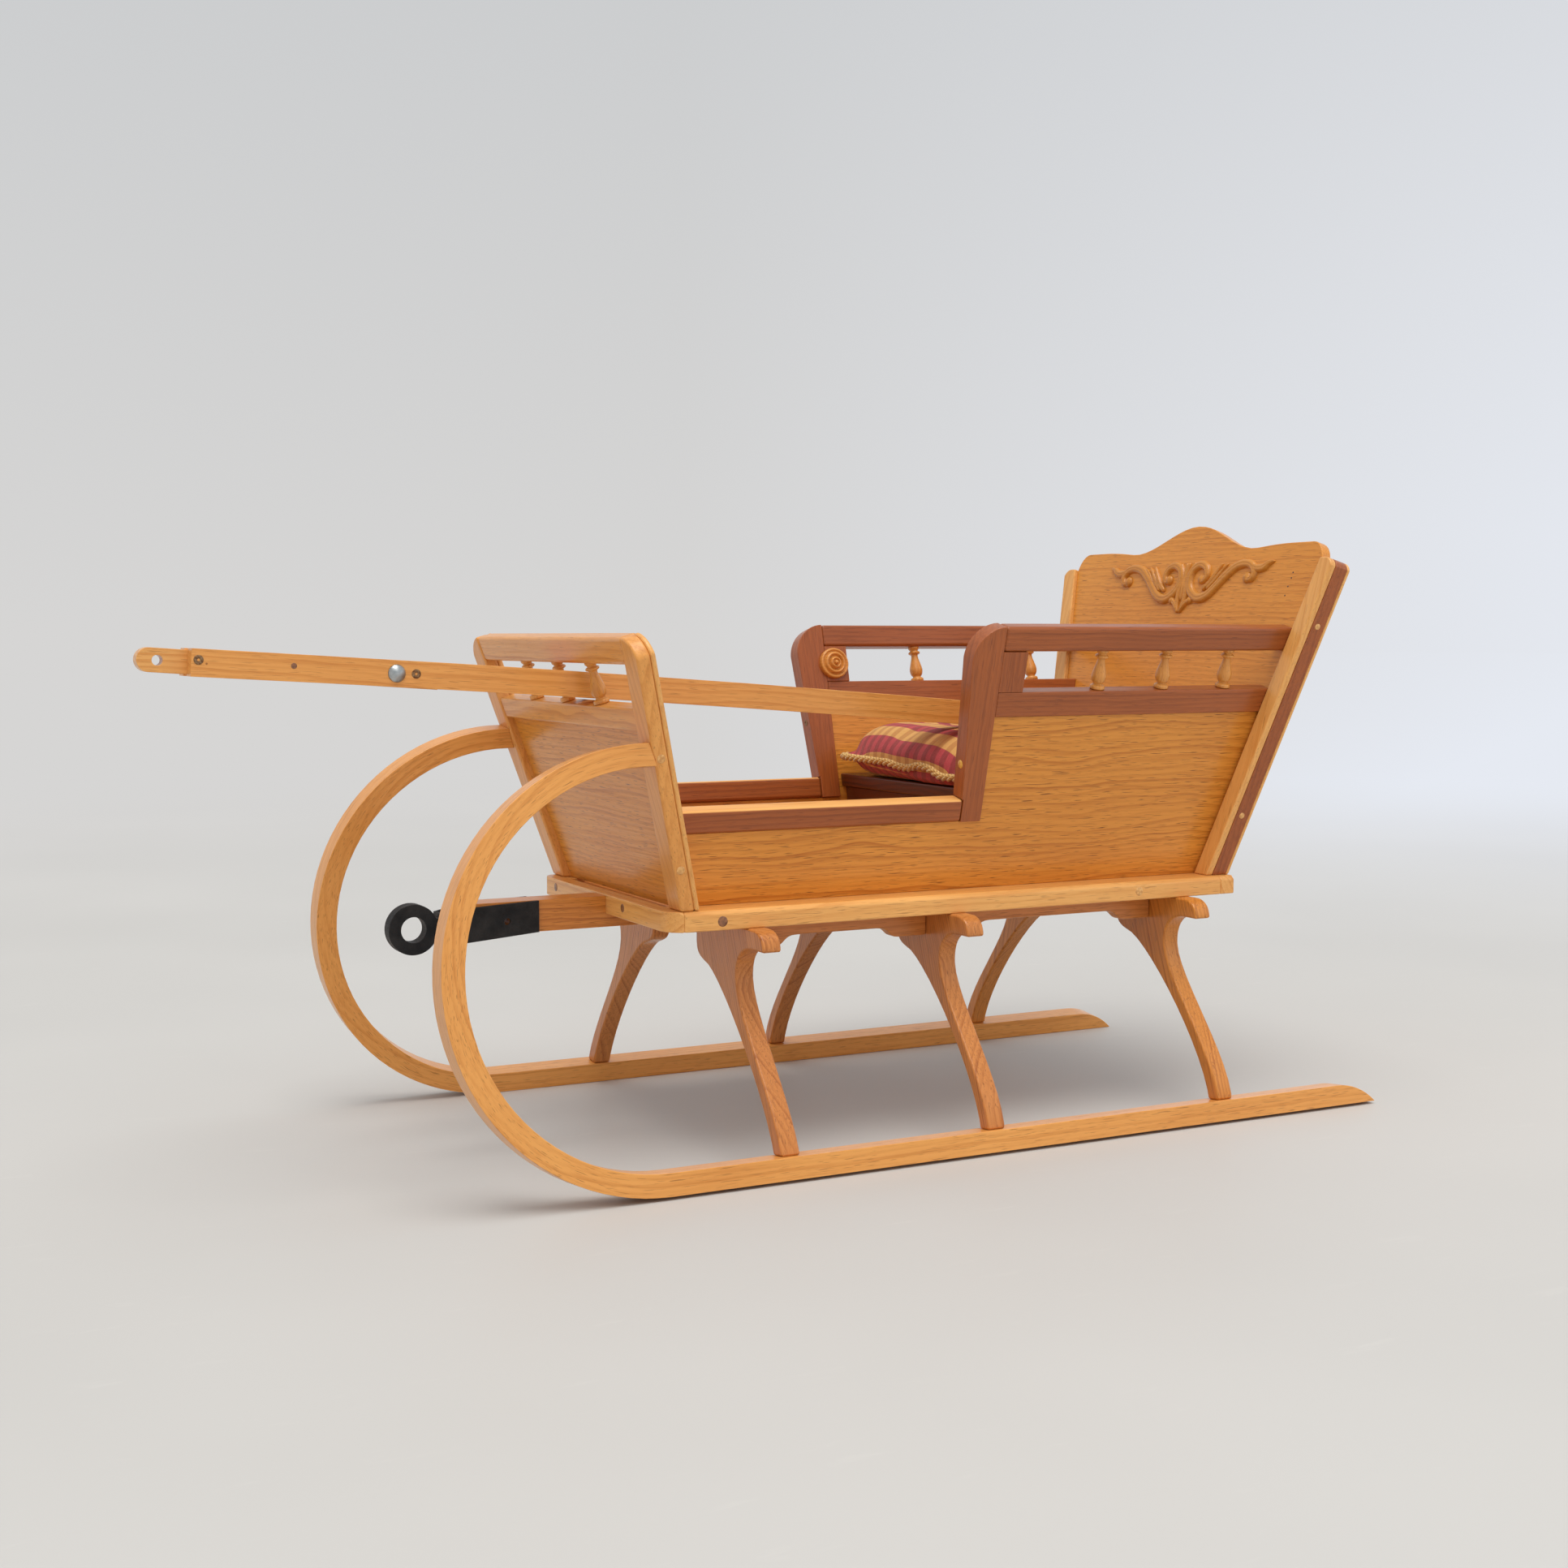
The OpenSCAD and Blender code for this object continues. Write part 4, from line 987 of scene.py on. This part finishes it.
def twisted_rope(name, path, radius=0.0056, strands=3, pitch=0.039, sides=8, step=0.0022):
    """A closed rope of twisted strands along a line."""
    closed = np.vstack([path, path[:1]])
    lengths = np.concatenate([[0], np.cumsum(np.linalg.norm(np.diff(closed, axis=0), axis=1))])
    total = lengths[-1]
    count = int(total / step)
    at = np.linspace(0, total, count, endpoint=False)
    line = np.stack([np.interp(at, lengths, closed[:, i]) for i in range(3)], axis=1)
    way = np.roll(line, -1, axis=0) - np.roll(line, 1, axis=0)
    way /= np.linalg.norm(way, axis=1, keepdims=True)
    side = np.cross(way, (0, 0, 1))
    side /= np.linalg.norm(side, axis=1, keepdims=True)
    over = np.cross(side, way)
    turns = round(total / pitch)
    strand_r = radius * 0.54
    centre_r = radius - strand_r
    vertices, faces, marks = [], [], []

    def ring_place(i, radius, turn):
        return radius * (side[i] * math.cos(turn) + over[i] * math.sin(turn))

    for strand in range(strands):
        first = len(vertices)
        for i in range(count):
            turn = 2 * math.pi * (strand / strands + turns * i / count)
            middle = line[i] + ring_place(i, centre_r, turn)
            for k in range(sides):
                vertices.append(middle + ring_place(i, strand_r, 2 * math.pi * k / sides + turn))
        for i in range(count):
            here, ahead = first + i * sides, first + (i + 1) % count * sides
            for k in range(sides):
                m = (k + 1) % sides
                faces.append((here + k, here + m, ahead + m, ahead + k))
                a, b = at[i], at[i] + step
                marks += [(a, k / sides), (a, (k + 1) / sides), (b, (k + 1) / sides), (b, k / sides)]
    obj = mesh_object(name, vertices, faces)
    layer = obj.data.uv_layers.new(name="strand")
    layer.data.foreach_set("uv", np.array(marks).ravel())
    return obj


rope = twisted_rope("cushion_rope", cushion_rim(cushion_points))
finish_piece(rope, gold_cord())


# ---------- plugs, screws and nails ----------
STUD_SUNK = 0.0010
RAY_START = 1.0


def stud(name, node, start, direction, profile, material, slot, body="root", steps=28):
    """A small turned thing set on a CAD node's surface where a line meets it."""
    place, normal = surface_hit(node, start, direction)
    obj = mesh_object(name, *lathe(profile, place - normal * STUD_SUNK, normal, steps))
    return finish_piece(obj, material, body)


def side_studs(name, node, x, z, *rest):
    """The same stud on a node's left and right namesakes, at the drawing's x and z."""
    for side, sign in SIDES:
        start = (x + ROW_SHIFT, RAY_START * sign, z)
        stud(name + "_" + side, node + "_" + side, start, (0, -sign, 0), *rest)


def front_stud(name, node, y, z, *rest):
    """A stud on the forward face of a node."""
    return stud(name, node, (RAY_START, y, z), (-1, 0, 0), *rest)


def flush(radius, rise=0.0004):
    """A plug that stands out by its rise, with a soft rim."""
    top = STUD_SUNK + rise
    return [(radius, 0.0), (radius, STUD_SUNK), (radius * 0.94, STUD_SUNK + rise * 0.8), (radius * 0.5, top),
            (radius * 0.02, top)]


def screw_head(radius):
    """A round head with a small dish in its middle."""
    return [(radius, 0.0), (radius, 0.0012), (radius * 0.92, 0.0015), (radius * 0.40, 0.0015),
            (radius * 0.28, 0.0010), (radius * 0.02, 0.0009)]


def beam_middle(x):
    """The height of the shaft beams' middle line at the drawing's x."""
    return BEAM_Z + 0.016 + BEAM_SLOPE * (x - BEAM_X)


PLUG_DARK = plug_wood("plug_dark", srgb(150, 96, 54), srgb(104, 60, 34))
PLUG_LIGHT = plug_wood("plug_light", srgb(232, 178, 104), srgb(198, 134, 66))
PLUG_YELLOW = plug_wood("plug_yellow", srgb(240, 190, 88), srgb(214, 156, 56))
NAIL = plug_wood("nail_hole", srgb(58, 34, 20), srgb(36, 22, 14))
STEEL = screw_steel()
PLUG_FOOT_Z = 0.317
ARM_POST_Y = 0.208

DECK_PLUGS = ((0.446, 0.303, 0.0065, PLUG_DARK), (-0.175, 0.304, 0.006, PLUG_LIGHT))
for k, (x, z, radius, material) in enumerate(DECK_PLUGS):
    side_studs("deck_plug_%d" % k, "deck_rail", x, z, flush(radius), material, "beech")
for k, y in enumerate((0.076, -0.162)):
    front_stud("front_cap_plug_%d" % k, "deck_cap_front", y, 0.306, flush(0.0055), PLUG_DARK, "beech")
for k, z in enumerate((0.369, 0.505)):
    x = 0.4995 - 0.009 + math.tan(dash_lean) * (z - PLUG_FOOT_Z)
    side_studs("dash_plug_%d" % k, "dash_post", x, z, flush(0.0055), PLUG_LIGHT, "beech")
for k, z in enumerate((0.40, 0.66)):
    x = -0.300 - 0.020 - math.tan(back_lean) * (z - PLUG_FOOT_Z)
    side_studs("back_plug_%d" % k, "back_post", x, z, flush(0.0042), PLUG_LIGHT, "beech")
front_stud("arm_post_plug", "arm_post_left", ARM_POST_Y, 0.483, flush(0.0055), PLUG_YELLOW, "walnut")
front_stud("arm_post_screw", "arm_post_right", -ARM_POST_Y - 0.008, 0.520, screw_head(0.0045), STEEL, "zinc")
for k, (across, up) in enumerate(((233, 436), (232, 428), (229, 416), (227, 403))):
    start, inward = back_place(across, up, 0.1), [-c for c in BACK_OUT]
    stud("nail_hole_%d" % k, "back_panel", start, inward, flush(0.0013, 0.0001), NAIL, "oak", steps=12)
for k, x in enumerate((1.035, 0.784)):
    side_studs("shaft_screw_%d" % k, "shaft_beam", x, beam_middle(x), screw_head(0.0056), STEEL, "zinc", "shaft")
# The small hole in each shaft beam is a flush dark disc: painted shade where the hole is.
SHAFT_HOLE_X = 0.928
side_studs("shaft_hole_shade", "shaft_beam", SHAFT_HOLE_X, beam_middle(SHAFT_HOLE_X), flush(0.0035, 0.0001), PLUG_DARK, "beech",
           "shaft")


# ---------- floor, light and camera ----------
def make_studio_haze():
    """The studio wall's colour in a direction: greyer above, brighter and bluer on the window side."""
    tree, source, sink = new_group("studio haze", {"Vector": ("Vector", None)}, {"Color": "Color"})
    way = add(tree, "ShaderNodeVectorMath", {0: source.outputs["Vector"]}, operation="NORMALIZE").outputs[0]
    bright_side = dot_product(tree, way, (-0.889, 0.452, 0.0))
    height = add(tree, "ShaderNodeSeparateXYZ", {0: way}).outputs[2]
    level = mixed(tree, between(tree, height, 0.0, 0.36), srgb(214, 213, 212), srgb(202, 204, 206))
    low = between(tree, height, 0.05, 0.42, 1.0, 0.25)
    bright = product(tree, between(tree, bright_side, -0.05, 0.42), low)
    tree.links.new(mixed(tree, bright, level, srgb(230, 234, 242)), sink.inputs["Color"])
    return tree


STUDIO_HAZE = make_studio_haze()


def pale_floor():
    """A painted floor that fades into the wall's colour far behind the sleigh."""
    material, tree, shader = blank_material("studio_floor")
    place = object_place(tree)
    cloud = noise_value(tree, place, 0.7, 3.0)
    scuffs = noise_value(tree, scaled(tree, place, (1.0, 5.0, 1.0)), 6.0, 4.0, 0.7)
    colour = mixed(tree, between(tree, cloud, 0.3, 0.7), srgb(192, 190, 186), srgb(199, 197, 193))
    colour = mixed(tree, between(tree, scuffs, 0.62, 0.8, 0.0, 0.25), colour, srgb(214, 212, 206))
    rough = between(tree, cloud, 0.3, 0.7, 0.50, 0.60)
    finish_shader(tree, shader, colour, rough, {"Specular IOR Level": 0.25})
    haze = use_group(tree, STUDIO_HAZE, {"Vector": place})
    glow = add(tree, "ShaderNodeEmission", {"Color": haze.outputs["Color"]})
    reach = add(tree, "ShaderNodeVectorMath", {0: place}, operation="LENGTH").outputs["Value"]
    span = {0: reach, 1: 1.2, 2: 7.0, 3: 0.0, 4: 1.0}
    fade = add(tree, "ShaderNodeMapRange", span, interpolation_type="SMOOTHSTEP")
    both = add(tree, "ShaderNodeMixShader", {0: fade.outputs[0], 1: shader.outputs[0], 2: glow.outputs[0]})
    output = next(node for node in tree.nodes if node.type == "OUTPUT_MATERIAL")
    tree.links.new(both.outputs[0], output.inputs["Surface"])
    return material


FLOOR_REACH = 60.0
corners = [(x * FLOOR_REACH, y * FLOOR_REACH, 0) for x, y in ((-1, -1), (1, -1), (1, 1), (-1, 1))]
floor = mesh_object("studio_floor", corners, [(0, 1, 2, 3)], False)
floor.data.materials.append(pale_floor())

world = bpy.data.worlds.new("studio")
bpy.context.scene.world = world
world.use_nodes = True
sky = world.node_tree
sky.nodes.clear()
direction = sky.nodes.new("ShaderNodeTexCoord").outputs["Generated"]
haze = use_group(sky, STUDIO_HAZE, {"Vector": direction})
backdrop = add(sky, "ShaderNodeBackground", {"Color": haze.outputs["Color"]})
sky.links.new(backdrop.outputs[0], add(sky, "ShaderNodeOutputWorld").inputs["Surface"])


def soft_light(name, place, target, size, power, colour=(1, 1, 1)):
    data = bpy.data.lights.new(name, "AREA")
    data.shape = "RECTANGLE"
    data.size, data.size_y = size
    data.energy = power
    data.color = colour
    lamp = placed(name, data)
    lamp.location = place
    lamp.rotation_euler = (Vector(target) - Vector(place)).to_track_quat("-Z", "Y").to_euler()


ceiling = bpy.data.lights.new("ceiling", "SUN")
ceiling.energy = 1.9
ceiling.angle = math.radians(40)
ceiling.color = (1.0, 0.975, 0.945)
placed("ceiling", ceiling).rotation_euler = Vector((0.10, 0.22, 1.0)).to_track_quat("Z", "Y").to_euler()
soft_light("key", (0.6, 2.6, 3.0), (0, 0, 0.3), (2.2, 1.6), 14, (1.0, 0.97, 0.92))
soft_light("window", (-3.0, 2.4, 1.8), (0, 0, 0.4), (1.8, 1.8), 8, (0.96, 0.98, 1.0))

camera = bpy.data.cameras.new("camera")
camera.sensor_width = 36
camera.lens = 46.15
viewer = placed("camera", camera)
azimuth, elevation, distance = math.radians(153.068), math.radians(4.208), 2.7083
target = Vector((-0.0468, 0.0, 0.4488))
level = math.cos(elevation)
back = Vector((math.sin(azimuth) * level, -math.cos(azimuth) * level, math.sin(elevation)))
viewer.location = target + back * distance
viewer.rotation_euler = back.to_track_quat("Z", "Y").to_euler()
bpy.context.scene.camera = viewer
bpy.context.scene.view_settings.view_transform = "Standard"
